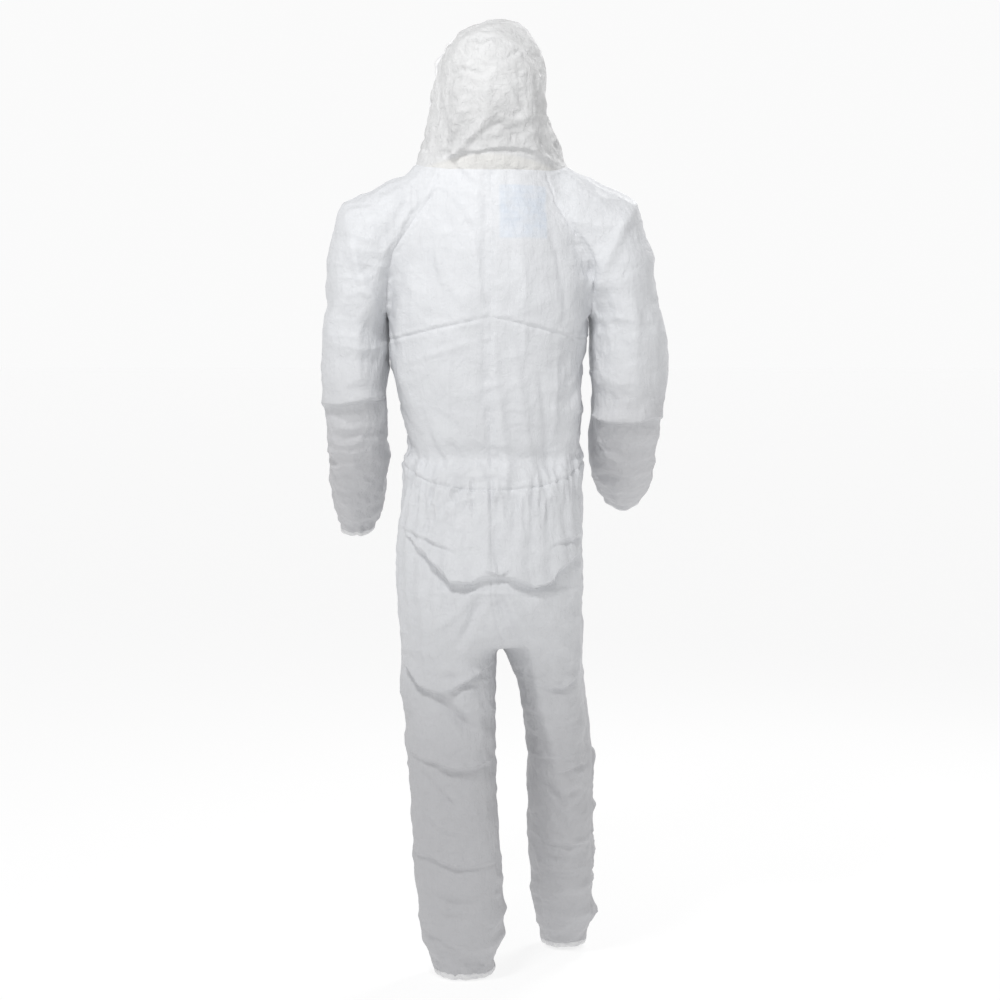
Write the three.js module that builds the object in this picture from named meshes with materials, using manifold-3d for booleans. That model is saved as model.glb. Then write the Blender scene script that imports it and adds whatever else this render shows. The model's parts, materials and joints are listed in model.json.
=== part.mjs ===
// A hooded protective coverall in its worn shape, built as an assembly of its real pieces.
// Millimetres. +Z is up, the wearer faces -Y and the wearer's left is +X.
// Heights are given above the ankle hems; the finished suit hangs from its neck, which is the origin.
import * as THREE from 'three';
import { mergeVertices } from 'three/addons/utils/BufferGeometryUtils.js';
import Module from 'manifold-3d';

const wasm = await Module();
wasm.setup();

// ---- Driving dimensions ----
const NECK_Z = 1490;          // height of the neck seam above the hems
const WALL = 2.4;             // thickness of a fabric panel's solid
const GAP = 0.4;              // clearance between neighbouring pieces
const FAR = 900;              // reach of a cutting solid past the suit

const COLLAR_TOP_Z = 1520;
const HOOD_FOLD_TOP_Z = 1560; // top of the soft zone where the hood folds back
const CROTCH_Z = 640;
const LEG_TOP_Z = 626;
const HIP_FOLD_BOTTOM_Z = 556;
const KNEE_TOP_Z = 470;
const KNEE_BOTTOM_Z = 370;
const ELBOW_TOP_Z = 1115;
const SHOULDER_FOLD = 75;     // length of the soft zone at the shoulder, along its bend
const ELBOW_FOLD = 48;        // length of the soft zone below the elbow's centre

const ZIP_TOP_Z = 1506;       // the slider's rest position
const ZIP_BOTTOM_Z = 770;
const ZIP_FRONT_TOP = -111;   // y of the front centre line there
const ZIP_FRONT_BOTTOM = -151.5;
const SLOT_HALF = 8;          // half the width of the opening that the zip closes
const ELASTIC = 1.2;          // thickness of an elastic
const LABEL_THICK = 0.6;

// ---- Colours ----
const WHITE = 0xe6e8ec;
const HOOD_WHITE = 0xdfdfe0;
const CREAM = 0xe9e6dc;
const ELASTIC_WHITE = 0xd8d8da;
const ZIP_WHITE = 0xf0f0ee;
const LINER = 0xd9dde0;
const LABEL = 0xcdd8e6;

const fabric = (color = WHITE) =>
  new THREE.MeshStandardMaterial({ color, roughness: 0.85, metalness: 0, side: THREE.DoubleSide });
const plastic = (color = ZIP_WHITE) =>
  new THREE.MeshStandardMaterial({ color, roughness: 0.4, metalness: 0 });

// ---- Joining and cutting ----
function toSolid(geometry) {
  const bare = geometry.index ? geometry.clone() : geometry;
  bare.deleteAttribute('normal');
  bare.deleteAttribute('uv');
  const merged = mergeVertices(bare, 1e-4);
  return new wasm.Manifold(new wasm.Mesh({
    numProp: 3,
    vertProperties: new Float32Array(merged.attributes.position.array),
    triVerts: new Uint32Array(merged.index.array),
  }));
}

function toGeometry(solid) {
  const mesh = solid.getMesh();
  const geometry = new THREE.BufferGeometry();
  geometry.setAttribute('position', new THREE.BufferAttribute(new Float32Array(mesh.vertProperties), 3));
  geometry.setIndex(new THREE.BufferAttribute(new Uint32Array(mesh.triVerts), 1));
  geometry.computeVertexNormals();
  return geometry;
}

function block(x0, x1, y0, y1, z0, z1) {
  const geometry = new THREE.BoxGeometry(x1 - x0, y1 - y0, z1 - z0);
  geometry.translate((x0 + x1) / 2, (y0 + y1) / 2, (z0 + z1) / 2);
  return toSolid(geometry);
}

function outline(points) {
  return new THREE.Shape(points.map(([u, v]) => new THREE.Vector2(u, v)));
}

// A prism whose outline lies in the XZ plane, running along Y from y0 to y1.
function prismXZ(points, y0 = -FAR, y1 = FAR) {
  const geometry = new THREE.ExtrudeGeometry(outline(points), { depth: y1 - y0, bevelEnabled: false });
  geometry.rotateX(Math.PI / 2);
  geometry.translate(0, y1, 0);
  return toSolid(geometry);
}

// A prism whose outline lies in the YZ plane, running along X from x0 to x1.
function prismYZ(points, x0 = -FAR, x1 = FAR) {
  const geometry = new THREE.ExtrudeGeometry(outline(points), { depth: x1 - x0, bevelEnabled: false });
  geometry.rotateX(Math.PI / 2);
  geometry.rotateZ(Math.PI / 2);
  geometry.translate(x0, 0, 0);
  return toSolid(geometry);
}

// The half of space beyond a plane through point, on the side that normal points to, as a large block.
function beyond(point, normal) {
  const geometry = new THREE.BoxGeometry(2 * FAR, 2 * FAR, FAR);
  geometry.translate(0, 0, FAR / 2);
  geometry.applyQuaternion(new THREE.Quaternion().setFromUnitVectors(new THREE.Vector3(0, 0, 1), normal));
  geometry.translate(point.x, point.y, point.z);
  return toSolid(geometry);
}

const all = (first, ...rest) => rest.reduce((solid, next) => solid.intersect(next), first);
const joined = (first, ...rest) => rest.reduce((solid, next) => solid.add(next), first);

// ---- Lofts ----
// A closed tube through stations { at, half, turn }: at is the middle of a section, half its two
// half-widths and turn its yaw. Sections lie flat, or square to the path when square is set.
// inset makes the tube thinner all round, and power squares off the ellipse.
function loft(stations, { sides, rows, inset = 0, square = false, power = 2 }) {
  const path = new THREE.CatmullRomCurve3(stations.map((s) => s.at), false, 'catmullrom', 0.5);
  const sizes = new THREE.CatmullRomCurve3(
    stations.map((s) => new THREE.Vector3(s.half[0], s.half[1], s.turn ?? 0)), false, 'catmullrom', 0.5);
  const geometry = new THREE.CylinderGeometry(1, 1, 1, sides, rows);
  const place = geometry.attributes.position;
  const along = new THREE.Vector3();
  const across = new THREE.Vector3();
  const depth = new THREE.Vector3();
  for (let i = 0; i < place.count; i += 1) {
    const t = 0.5 - place.getY(i);
    const size = sizes.getPoint(t);
    const middle = path.getPoint(t);
    depth.set(0, 1, 0);
    across.set(1, 0, 0);
    if (square) {
      path.getTangent(t, along);
      depth.addScaledVector(along, -along.y).normalize();
      across.crossVectors(depth, along).normalize();
    }
    const spread = Math.hypot(place.getX(i), place.getZ(i));
    const c = Math.cos(Math.atan2(place.getZ(i), place.getX(i)));
    const s = Math.sin(Math.atan2(place.getZ(i), place.getX(i)));
    const u = spread * Math.sign(c) * Math.abs(c) ** (2 / power) * (size.x - inset);
    const v = spread * Math.sign(s) * Math.abs(s) ** (2 / power) * (size.y - inset);
    const [cosTurn, sinTurn] = [Math.cos(size.z), Math.sin(size.z)];
    middle.addScaledVector(across, u * cosTurn - v * sinTurn);
    middle.addScaledVector(depth, u * sinTurn + v * cosTurn);
    place.setXYZ(i, middle.x, middle.y, middle.z);
  }
  const solid = toSolid(geometry);
  return solid.volume() > 0 ? solid : toSolid(geometry.setIndex(reversed(geometry.index.array)));
}

function reversed(indices) {
  const flipped = Array.from(indices);
  for (let i = 0; i < flipped.length; i += 3) {
    [flipped[i], flipped[i + 1]] = [flipped[i + 1], flipped[i]];
  }
  return flipped;
}

const vec = (x, y, z) => new THREE.Vector3(x, y, z);

// A flat section from its four extremes.
function section(z, left, right, front, back, turn = 0) {
  return {
    at: vec((left + right) / 2, (front + back) / 2, z),
    half: [(left - right) / 2, (back - front) / 2],
    turn,
  };
}

// y of the straight line down the front that the zip runs on
function frontLine(z) {
  const share = (ZIP_TOP_Z - z) / (ZIP_TOP_Z - ZIP_BOTTOM_Z);
  return ZIP_FRONT_TOP + share * (ZIP_FRONT_BOTTOM - ZIP_FRONT_TOP);
}

// ---- The body's shape ----
const upright = (z, left, right, back) => section(z, left, right, frontLine(z), back);

const TORSO = [
  upright(1530, 124, -128, 97),
  upright(1490, 130, -134, 100),
  upright(1455, 150, -154, 110),
  upright(1400, 172, -168, 126),
  upright(1330, 187, -181, 134),
  upright(1250, 185, -180, 134),
  upright(1140, 185, -170, 122),
  upright(1040, 166, -168, 108),
  upright(950, 153, -161, 102),
  upright(850, 178, -171, 136),
  upright(780, 188, -172, 154),
  section(710, 184, -168, -151, 150),
  section(CROTCH_Z, 176, -165, -126, 124),
];

const LEFT_ARM = [
  { at: vec(70, 2, 1420), half: [64, 84] },
  { at: vec(140, 3, 1402), half: [74, 92] },
  { at: vec(226, 3, 1364), half: [82, 94] },
  { at: vec(245, 3, 1270), half: [57, 88] },
  { at: vec(254, 0, 1160), half: [61, 80] },
  { at: vec(253, -8, 1060), half: [59, 72] },
  { at: vec(250, -66, 955), half: [57, 60] },
  { at: vec(252, -120, 875), half: [48, 48] },
  { at: vec(254, -150, 830), half: [34, 36] },
  { at: vec(254, -162, 812), half: [30, 31] },
];

const RIGHT_ARM = [
  { at: vec(-80, 2, 1426), half: [62, 84] },
  { at: vec(-140, 3, 1412), half: [74, 92] },
  { at: vec(-218, 3, 1376), half: [80, 94] },
  { at: vec(-240, 3, 1280), half: [58, 88] },
  { at: vec(-253, 0, 1160), half: [74, 84] },
  { at: vec(-250, -10, 1062), half: [71, 76] },
  { at: vec(-247, -88, 972), half: [66, 66] },
  { at: vec(-247, -168, 910), half: [52, 50] },
  { at: vec(-248, -208, 880), half: [37, 38] },
  { at: vec(-248, -222, 869), half: [32, 33] },
];

const LEFT_LEG = [
  section(740, 172, -4, -128, 124),
  section(620, 172, -13, -106, 122),
  section(520, 168, -10, -92, 112),
  section(420, 156, -12, -82, 106),
  section(300, 149, -14, -78, 98),
  section(170, 143, -27, -88, 82),
  section(80, 131, -27, -88, 62),
  section(30, 113, -13, -78, 40),
  section(-12, 102, -3, -72, 33),
];

const RIGHT_LEG = [
  section(740, -10, -164, -130, 122),
  section(620, -21, -169, -132, 98),
  section(540, -45, -168, -148, 60),
  section(450, -56, -187, -170, 26),
  section(360, -62, -196, -192, -14),
  section(200, -67, -191, -246, -80),
  section(90, -76, -203, -282, -128),
  section(30, -92, -190, -282, -168),
  section(-12, -98, -184, -276, -176),
];

const HOOD_TURN = 0.3;        // the hood looks a little to the wearer's left
const HOOD = [
  section(1475, 131, -135, frontLine(1475) - 2, 102, 0),
  section(1520, 127, -129, frontLine(1520) - 2, 104, 0),
  section(1565, 118, -118, -118, 116, 0.6 * HOOD_TURN),
  section(1610, 112, -109, -124, 124, HOOD_TURN),
  section(1660, 103, -101, -120, 124, HOOD_TURN),
  section(1705, 86, -88, -98, 108, HOOD_TURN),
  section(1738, 56, -66, -66, 78, HOOD_TURN),
  section(1755, 20, -34, -26, 36, HOOD_TURN),
  section(1758, 0, -9, -5, 10, HOOD_TURN),
];

const ARM = { sides: 16, rows: 14, square: true };
const LEG = { sides: 16, rows: 9, power: 2.1 };
const TRUNK = { sides: 24, rows: 14, power: 2.3 };

const body = (inset) => joined(
  loft(TORSO, { ...TRUNK, inset }).subtract(block(-FAR, FAR, -FAR, FAR, 0, CROTCH_Z + inset)),
  loft(LEFT_ARM, { ...ARM, inset }),
  loft(RIGHT_ARM, { ...ARM, inset }),
  loft(LEFT_LEG, { ...LEG, inset }),
  loft(RIGHT_LEG, { ...LEG, inset }),
);
const hood = (inset) => loft(HOOD, { sides: 20, rows: 11, power: 2.1, inset });

// A wall of the body or the hood between two depths below its outer surface.
const layer = (shape, outer, inner) => shape(outer).subtract(shape(inner));
const below = (z) => block(-FAR, FAR, -FAR, FAR, -FAR, z);
const above = (z) => block(-FAR, FAR, -FAR, FAR, z, 2 * FAR + FAR);
const between = (low, high) => block(-FAR, FAR, -FAR, FAR, low, high - GAP);

const zipSlot = block(-SLOT_HALF, SLOT_HALF, -FAR, 0, ZIP_BOTTOM_Z - 2, NECK_Z + 100);
const shell = layer(body, 0, WALL).subtract(zipSlot);
const hoodShell = layer(hood, 0, WALL);

// ---- Where the panels are cut ----
const RAGLAN_LEFT = [[96, 1492], [112, 1440], [146, 1395], [180, 1344], [188, 1290], [187.6, 1240],
  [189.4, 1180], [190, 1100], [190, 700]];
const RAGLAN_RIGHT = [[-100, 1492], [-118, 1436], [-150, 1385], [-176, 1335], [-184, 1290],
  [-181.5, 1245], [-175.5, 1160], [-174, 1080], [-175, 700]];
const outward = (line, side) => [...line, [side * FAR, line.at(-1)[1]], [side * FAR, 1600], [line[0][0], 1600]];
const shift = (points, dx) => points.map(([x, z]) => [x + dx, z]);

const armRegion = {
  left: prismXZ(shift(outward(RAGLAN_LEFT, 1), GAP / 2)),
  right: prismXZ(shift(outward(RAGLAN_RIGHT, -1), -GAP / 2)),
};
const trunkRegion = prismXZ([
  ...shift(RAGLAN_LEFT, -GAP / 2), [190, 300], [-176, 300], ...shift([...RAGLAN_RIGHT].reverse(), GAP / 2),
]);

// the centre line runs down the middle of the trunk, then slants to the gap between the legs
const CENTRE = [[0, 1600], [0, 720], [-17, CROTCH_Z], [-17, 600], [-42, 250], [-46, 0]];
const sideRegion = {
  left: prismXZ(shift([...CENTRE, [FAR, 0], [FAR, 1600]], GAP / 2)),
  right: prismXZ(shift([...CENTRE, [-FAR, 0], [-FAR, 1600]], -GAP / 2)),
};
const backHalf = block(-FAR, FAR, GAP / 2, FAR, -FAR, 3 * FAR);
const frontHalf = block(-FAR, FAR, -FAR, -GAP / 2, -FAR, 3 * FAR);

// the waist dips behind, where the elastic pulls it down
const waistLine = (dz) => [[-400, 955 + dz], [0, 955 + dz], [110, 912 + dz], [400, 800 + dz]];
const overWaist = prismYZ([...waistLine(GAP / 2), [400, 1700], [-400, 1700]]);
const underWaist = prismYZ([...waistLine(-GAP / 2), [400, 300], [-400, 300]]);
const aroundWaist = prismYZ([...waistLine(-8), ...waistLine(8).reverse()]);

// the seam across the shoulder blades falls towards the sides
const yokeLine = (dz) => [[-300, 1158 + dz], [0, 1226 + dz], [300, 1158 + dz]];
const overYoke = prismXZ([...yokeLine(GAP / 2), [300, 1700], [-300, 1700]]);
const underYoke = prismXZ([...yokeLine(-GAP / 2), [300, 700], [-300, 700]]);

// ---- Assembly ----
const suit = new THREE.Group();
suit.position.z = -NECK_Z;

function add(name, solid, material, parent = suit) {
  const mesh = new THREE.Mesh(toGeometry(solid), material);
  mesh.name = name;
  parent.add(mesh);
  return mesh;
}

function addTrunk() {
  const neckline = below(NECK_Z - GAP / 2);
  for (const side of ['left', 'right']) {
    const half = all(shell, trunkRegion, sideRegion[side], neckline);
    const upper = half.intersect(overWaist);
    const back = upper.intersect(backHalf);
    add(`${side}_front_panel`, upper.intersect(frontHalf), fabric());
    add(`${side}_upper_back_panel`, back.intersect(overYoke), fabric());
    add(`${side}_lower_back_panel`, back.intersect(underYoke), fabric());
    const hips = all(half, underWaist, above(LEG_TOP_Z + GAP / 2));
    add(`${side}_seat_panel`, hips.intersect(backHalf), fabric());
    add(`${side}_hip_front_panel`, hips.intersect(frontHalf), fabric());
  }
  const strip = layer(body, WALL + GAP, WALL + GAP + ELASTIC)
    .subtract(block(-30, 30, -FAR, 0, 0, 3 * FAR));
  add('waist_elastic', all(strip, trunkRegion, aroundWaist), fabric(ELASTIC_WHITE));
}

function addSleeve(side, sign, stations) {
  const sleeve = shell.intersect(armRegion[side]);
  const armpit = vec(sign * 187, 0, 1262);
  const bend = vec(sign * 0.8, 0, -0.6);
  const foldEnd = armpit.clone().addScaledVector(bend, SHOULDER_FOLD);
  const path = new THREE.CatmullRomCurve3(stations.map((s) => s.at), false, 'catmullrom', 0.5);
  const elbow = stations[5].at;
  const forearm = stations[6].at.clone().sub(elbow).normalize();
  const foldStart = elbow.clone().addScaledVector(forearm, ELBOW_FOLD);
  const wrist = path.getPoint(1 - 0.7 / (stations.length - 1));
  const cuff = path.getTangent(1);
  const after = (point, direction) => beyond(point.clone().addScaledVector(direction, GAP / 2), direction);
  const before = (point, direction) =>
    beyond(point.clone().addScaledVector(direction, -GAP / 2), direction.clone().negate());

  const low = below(ELBOW_TOP_Z - GAP / 2);
  const high = above(ELBOW_TOP_Z + GAP / 2);
  add(`${side}_sleeve_head`, all(sleeve, before(armpit, bend), below(NECK_Z - GAP / 2)), fabric());
  add(`${side}_sleeve_shoulder_fold`, all(sleeve, after(armpit, bend), before(foldEnd, bend), high), fabric());
  add(`${side}_sleeve_upper_arm`, all(sleeve, after(foldEnd, bend), high), fabric());
  add(`${side}_sleeve_elbow_fold`, all(sleeve, low, before(foldStart, forearm)), fabric());
  add(`${side}_sleeve_forearm`, all(sleeve, low, after(foldStart, forearm), before(wrist, cuff)), fabric());

  const ring = all(layer(body, WALL + GAP, WALL + GAP + ELASTIC), armRegion[side], low);
  const cuffStart = wrist.clone().addScaledVector(cuff, -12);
  const cuffEnd = wrist.clone().addScaledVector(cuff, -3);
  add(`${side}_wrist_elastic`, all(ring, after(cuffStart, cuff), before(cuffEnd, cuff)), fabric(ELASTIC_WHITE));
}

function addLeg(side) {
  const leg = shell.intersect(sideRegion[side]);
  add(`${side}_leg_hip_fold`, leg.intersect(between(HIP_FOLD_BOTTOM_Z, LEG_TOP_Z)), fabric());
  add(`${side}_leg_thigh`, leg.intersect(between(KNEE_TOP_Z, HIP_FOLD_BOTTOM_Z)), fabric());
  add(`${side}_leg_knee_fold`, leg.intersect(between(KNEE_BOTTOM_Z, KNEE_TOP_Z)), fabric());
  add(`${side}_leg_shin`, leg.intersect(between(0, KNEE_BOTTOM_Z)), fabric());
  const ring = layer(body, WALL + GAP, WALL + GAP + ELASTIC).intersect(sideRegion[side]);
  add(`${side}_ankle_elastic`, ring.intersect(between(3, 12)), fabric(ELASTIC_WHITE));
}

// The hood: a side panel on each side of a crown strip, gathered by an elastic round the face.
function addHood() {
  const turned = (solid) => solid.rotate([0, 0, (HOOD_TURN * 180) / Math.PI]);
  // everything in front of the face opening's rim, offset back from it
  const faceCut = (back) => turned(prismYZ([
    [-66 + back, 1790], [-66 + back, 1556 + back], [-92 + back, 1535 + back], [-FAR, 1535 + back], [-FAR, 1790],
  ]));
  const open = hoodShell.subtract(faceCut(0)).subtract(zipSlot);
  const crown = (half) => turned(block(-half, half, 30 - FAR, FAR, NECK_Z, 2 * FAR));
  const panels = open.intersect(above(HOOD_FOLD_TOP_Z + GAP / 2));
  const sides = panels.subtract(crown(46 + GAP));
  const leftSide = turned(block(0, FAR, -FAR, FAR, 0, 3 * FAR));
  add('hood_crown_panel', panels.intersect(crown(46)), fabric(HOOD_WHITE));
  add('hood_left_panel', sides.intersect(leftSide), fabric(HOOD_WHITE));
  add('hood_right_panel', sides.subtract(leftSide), fabric(HOOD_WHITE));
  add('hood_neck_fold', open.intersect(between(COLLAR_TOP_Z, HOOD_FOLD_TOP_Z)), fabric(HOOD_WHITE));
  add('collar_band', open.intersect(between(NECK_Z + GAP / 2, COLLAR_TOP_Z)), fabric(CREAM));

  const lining = layer(hood, WALL + GAP, WALL + GAP + ELASTIC).intersect(above(HOOD_FOLD_TOP_Z + 2));
  add('hood_face_elastic', lining.subtract(faceCut(3)).intersect(faceCut(11)), fabric(ELASTIC_WHITE));
}

// ---- The zip, in its own frame: the origin at the slider, z up the line, the outside towards -y ----
const zip = new THREE.Group();
zip.position.set(0, frontLine(ZIP_TOP_Z), ZIP_TOP_Z);
zip.rotation.x = Math.atan2(ZIP_FRONT_BOTTOM - ZIP_FRONT_TOP, ZIP_TOP_Z - ZIP_BOTTOM_Z);
suit.add(zip);

const CHAIN_TOP = 8;          // heights along the line, from the slider's rest position
const CHAIN_BOTTOM = -726;
const FLAP_TOP = -38;
const FLAP_BOTTOM = -744;
const FLAP_HINGE_X = 20.8;
const TAB_PIN_N = 1.95;       // how proud of the suit the tab's pin stands, and its height
const TAB_PIN_Z = 2.8;

// A plate whose outer face stands n1 proud of the suit and whose inner face stands n0 proud.
const plate = (x0, x1, n0, n1, z0, z1) => block(x0, x1, -n1, -n0, z0, z1);

function addChain() {
  for (const [side, sign] of [['left', 1], ['right', -1]]) {
    const pick = (x0, x1, ...rest) => plate(Math.min(sign * x0, sign * x1), Math.max(sign * x0, sign * x1), ...rest);
    add(`${side}_zip_tape`, pick(0.8, 11, -5, -4.2, CHAIN_BOTTOM - 12, CHAIN_TOP + 10), fabric(ZIP_WHITE), zip);
    add(`${side}_zip_teeth`, pick(0.8, 3.6, -3.8, -1.6, CHAIN_BOTTOM + 5, CHAIN_TOP), plastic(), zip);
    add(`${side}_zip_top_stop`, pick(0.8, 3.6, -3.8, -1.2, CHAIN_TOP + 0.4, CHAIN_TOP + 5), plastic(), zip);
  }
  add('zip_bottom_stop', plate(-4, 4, -3.8, -1.2, CHAIN_BOTTOM - 3, CHAIN_BOTTOM + 4.6), plastic(), zip);
}

// Two wings joined by a thin web that runs between the rows of teeth, with two lugs and a pin for the tab.
function addSlider() {
  const wing = new THREE.Shape();
  wing.moveTo(-3.6, -6);
  wing.lineTo(3.6, -6);
  wing.quadraticCurveTo(5.6, 2, 5.2, 6);
  wing.lineTo(-5.2, 6);
  wing.quadraticCurveTo(-5.6, 2, -3.6, -6);
  const wingPlate = (n0, n1) => {
    const geometry = new THREE.ExtrudeGeometry(wing, { depth: n1 - n0, bevelEnabled: false, curveSegments: 5 });
    geometry.rotateX(Math.PI / 2);
    geometry.translate(0, -n0, 0);
    return toSolid(geometry);
  };
  const lug = (x0, x1) => plate(x0, x1, 0.2, 2.9, 1.2, 4.4);
  const pin = new THREE.CylinderGeometry(0.48, 0.48, 5, 12);
  pin.rotateZ(Math.PI / 2);
  pin.translate(0, -TAB_PIN_N, TAB_PIN_Z);
  add('zip_slider', joined(
    wingPlate(-6.8, -5.4), wingPlate(-1.2, 0.4), plate(-0.35, 0.35, -6, -1, -4, 5.4),
    lug(1.9, 2.9), lug(-2.9, -1.9), toSolid(pin),
  ), plastic(), zip);
}

// A rounded tab hanging from an eye on the slider's pin.
function addPullTab() {
  const tab = new THREE.Shape();
  tab.moveTo(-1.5, 0.6);
  tab.lineTo(-1.5, -3);
  tab.lineTo(-3.6, -8);
  tab.lineTo(-3.6, -24);
  tab.absarc(0, -24, 3.6, Math.PI, 2 * Math.PI, false);
  tab.lineTo(3.6, -8);
  tab.lineTo(1.5, -3);
  tab.lineTo(1.5, 0.6);
  const hole = new THREE.Path();
  hole.absarc(0, -23.4, 1.6, 0, 2 * Math.PI, true);
  tab.holes.push(hole);
  const flat = new THREE.ExtrudeGeometry(tab, { depth: 1.3, bevelEnabled: false, curveSegments: 10 });
  flat.rotateX(Math.PI / 2);
  flat.translate(0, -(TAB_PIN_N - 0.65), TAB_PIN_Z);
  const eye = new THREE.CylinderGeometry(1.3, 1.3, 3, 16);
  eye.rotateZ(Math.PI / 2);
  eye.translate(0, -TAB_PIN_N, TAB_PIN_Z);
  const bore = new THREE.CylinderGeometry(0.8, 0.8, 8, 12);
  bore.rotateZ(Math.PI / 2);
  bore.translate(0, -TAB_PIN_N, TAB_PIN_Z);
  add('zip_pull_tab', joined(toSolid(flat), toSolid(eye)).subtract(toSolid(bore)), plastic(), zip);
}

// The flap over the zip, its sewn base and the adhesive strip that holds its free edge.
function addStormFlap() {
  add('storm_flap', plate(-24, FLAP_HINGE_X - 0.2, 3.7, 4.9, FLAP_BOTTOM, FLAP_TOP), fabric(), zip);
  add('storm_flap_base', plate(17.6, FLAP_HINGE_X, 0.3, 3.3, FLAP_BOTTOM, FLAP_TOP), fabric(), zip);
  add('flap_adhesive_strip', plate(-21, -11, 0.3, 0.8, FLAP_BOTTOM + 30, FLAP_TOP - 10), fabric(CREAM), zip);
  add('adhesive_release_liner', plate(-22, -10.4, 1.2, 1.6, FLAP_BOTTOM + 30, FLAP_TOP - 4), fabric(LINER), zip);
}

// The size label, sewn inside the right upper back below the neck.
function addLabel() {
  const tag = layer(body, WALL + GAP, WALL + GAP + LABEL_THICK);
  add('neck_label', all(tag, block(-100, -15, 0, FAR, 1366, 1460), trunkRegion), fabric(LABEL));
}

addTrunk();
addSleeve('left', 1, LEFT_ARM);
addSleeve('right', -1, RIGHT_ARM);
addLeg('left');
addLeg('right');
addHood();
addChain();
addSlider();
addPullTab();
addStormFlap();
addLabel();

export default suit;
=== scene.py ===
"""A hooded protective coverall in its worn shape: the looks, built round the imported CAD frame.

Metres, in the frame's own axes: +Z is up, the wearer faces -Y and the wearer's left is +X.
"""
import json
import math

import bmesh
import bpy
import numpy as np
import openvdb
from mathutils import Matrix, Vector


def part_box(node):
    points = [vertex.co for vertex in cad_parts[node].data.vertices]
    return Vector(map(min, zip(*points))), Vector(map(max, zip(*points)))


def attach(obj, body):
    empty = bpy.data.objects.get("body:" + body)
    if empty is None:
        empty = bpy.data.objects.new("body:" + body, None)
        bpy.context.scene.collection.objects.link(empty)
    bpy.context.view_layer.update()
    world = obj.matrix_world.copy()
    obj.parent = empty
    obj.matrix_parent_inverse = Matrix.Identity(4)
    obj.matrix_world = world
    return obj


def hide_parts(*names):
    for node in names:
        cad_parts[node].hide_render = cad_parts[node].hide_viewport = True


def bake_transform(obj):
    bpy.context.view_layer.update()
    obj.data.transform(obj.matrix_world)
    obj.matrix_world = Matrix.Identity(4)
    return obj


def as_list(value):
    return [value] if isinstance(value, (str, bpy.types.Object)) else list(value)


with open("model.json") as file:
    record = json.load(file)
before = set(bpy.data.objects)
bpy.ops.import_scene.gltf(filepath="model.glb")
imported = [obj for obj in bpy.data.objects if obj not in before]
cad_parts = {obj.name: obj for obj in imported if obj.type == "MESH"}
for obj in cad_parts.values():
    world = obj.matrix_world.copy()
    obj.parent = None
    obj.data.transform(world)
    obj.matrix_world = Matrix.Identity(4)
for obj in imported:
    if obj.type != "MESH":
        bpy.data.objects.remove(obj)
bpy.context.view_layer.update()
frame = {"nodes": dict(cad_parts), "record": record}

# ---- Camera, behind the suit at chest height, looking slightly down ----
CAMERA_AT = (-0.015, 4.3, -0.285)
CAMERA_PITCH = math.radians(4.27)
LENS = 85.03


def add_camera():
    camera = bpy.data.cameras.new("camera")
    camera.lens = LENS
    camera.sensor_width = 36
    holder = bpy.data.objects.new("camera", camera)
    holder.location = CAMERA_AT
    holder.rotation_euler = (math.pi / 2 - CAMERA_PITCH, 0, math.pi)
    bpy.context.scene.collection.objects.link(holder)
    bpy.context.scene.camera = holder


add_camera()

# ---- What the CAD says ----
SIDES = {"left": 1, "right": -1}      # with the sign that x has there
MOUNTS = {m["name"]: m for m in frame["record"]["mounts"]}


def side_nodes(*names):
    return [f"{side}_{name}" for name in names for side in SIDES]


TRUNK_NODES = side_nodes("front_panel", "upper_back_panel", "lower_back_panel", "seat_panel",
                         "hip_front_panel")
SLEEVE_PARTS = ("sleeve_head", "sleeve_shoulder_fold", "sleeve_upper_arm", "sleeve_elbow_fold",
                "sleeve_forearm")
LEG_PARTS = ("leg_hip_fold", "leg_thigh", "leg_knee_fold", "leg_shin")
HOOD_NODES = ["collar_band", "hood_neck_fold", "hood_crown_panel", "hood_left_panel", "hood_right_panel"]
TUBES = [TRUNK_NODES, HOOD_NODES]
TUBES += [[f"{side}_{part}" for part in parts] for side in SIDES for parts in (SLEEVE_PARTS, LEG_PARTS)]

# ---- The surface: every tube of the CAD filled in, joined and drawn as one skin ----
SLAB = 0.010          # the filled tubes are stacks of convex slices this thick
LAP = 0.0006          # by which slices overlap
VOXEL = 0.006
SLIT_HALF = 0.0058    # half the gap kept between an arm and the trunk
ARMPIT_Z = -0.25
SLIT_LOW = -0.46      # below it the sleeves hang clear of the trunk


def values(items, key, width, kind=np.float32):
    """What a Blender collection's items hold under this key, as rows of this width."""
    flat = np.empty(len(items) * width, kind)
    items.foreach_get(key, flat)
    return flat.reshape(-1, width)


def coordinates(mesh):
    return values(mesh.vertices, "co", 3).astype(float)


def tube_slices(nodes):
    """Convex slices of the tube that these nodes make, as (points, triangles) pairs."""
    points, edges, count = [], [], 0
    for name in nodes:
        mesh = frame["nodes"][name].data
        points.append(coordinates(mesh))
        edges.append(values(mesh.edges, "vertices", 2, np.int64) + count)
        count += len(mesh.vertices)
    points, edges = np.concatenate(points), np.concatenate(edges)
    low, high = points[:, 2].min(), points[:, 2].max()
    for z in np.arange(low, high, SLAB):
        bottom, top = z - LAP, min(z + SLAB + LAP, high)
        found = [points[(points[:, 2] >= bottom) & (points[:, 2] <= top)]]
        for level in (bottom, top):
            a, b = points[edges[:, 0]], points[edges[:, 1]]
            cross = (a[:, 2] - level) * (b[:, 2] - level) < 0
            a, b = a[cross], b[cross]
            share = (level - a[:, 2]) / (b[:, 2] - a[:, 2])
            found.append(a + share[:, None] * (b - a))
        yield convex_hull(np.concatenate(found))


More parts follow.
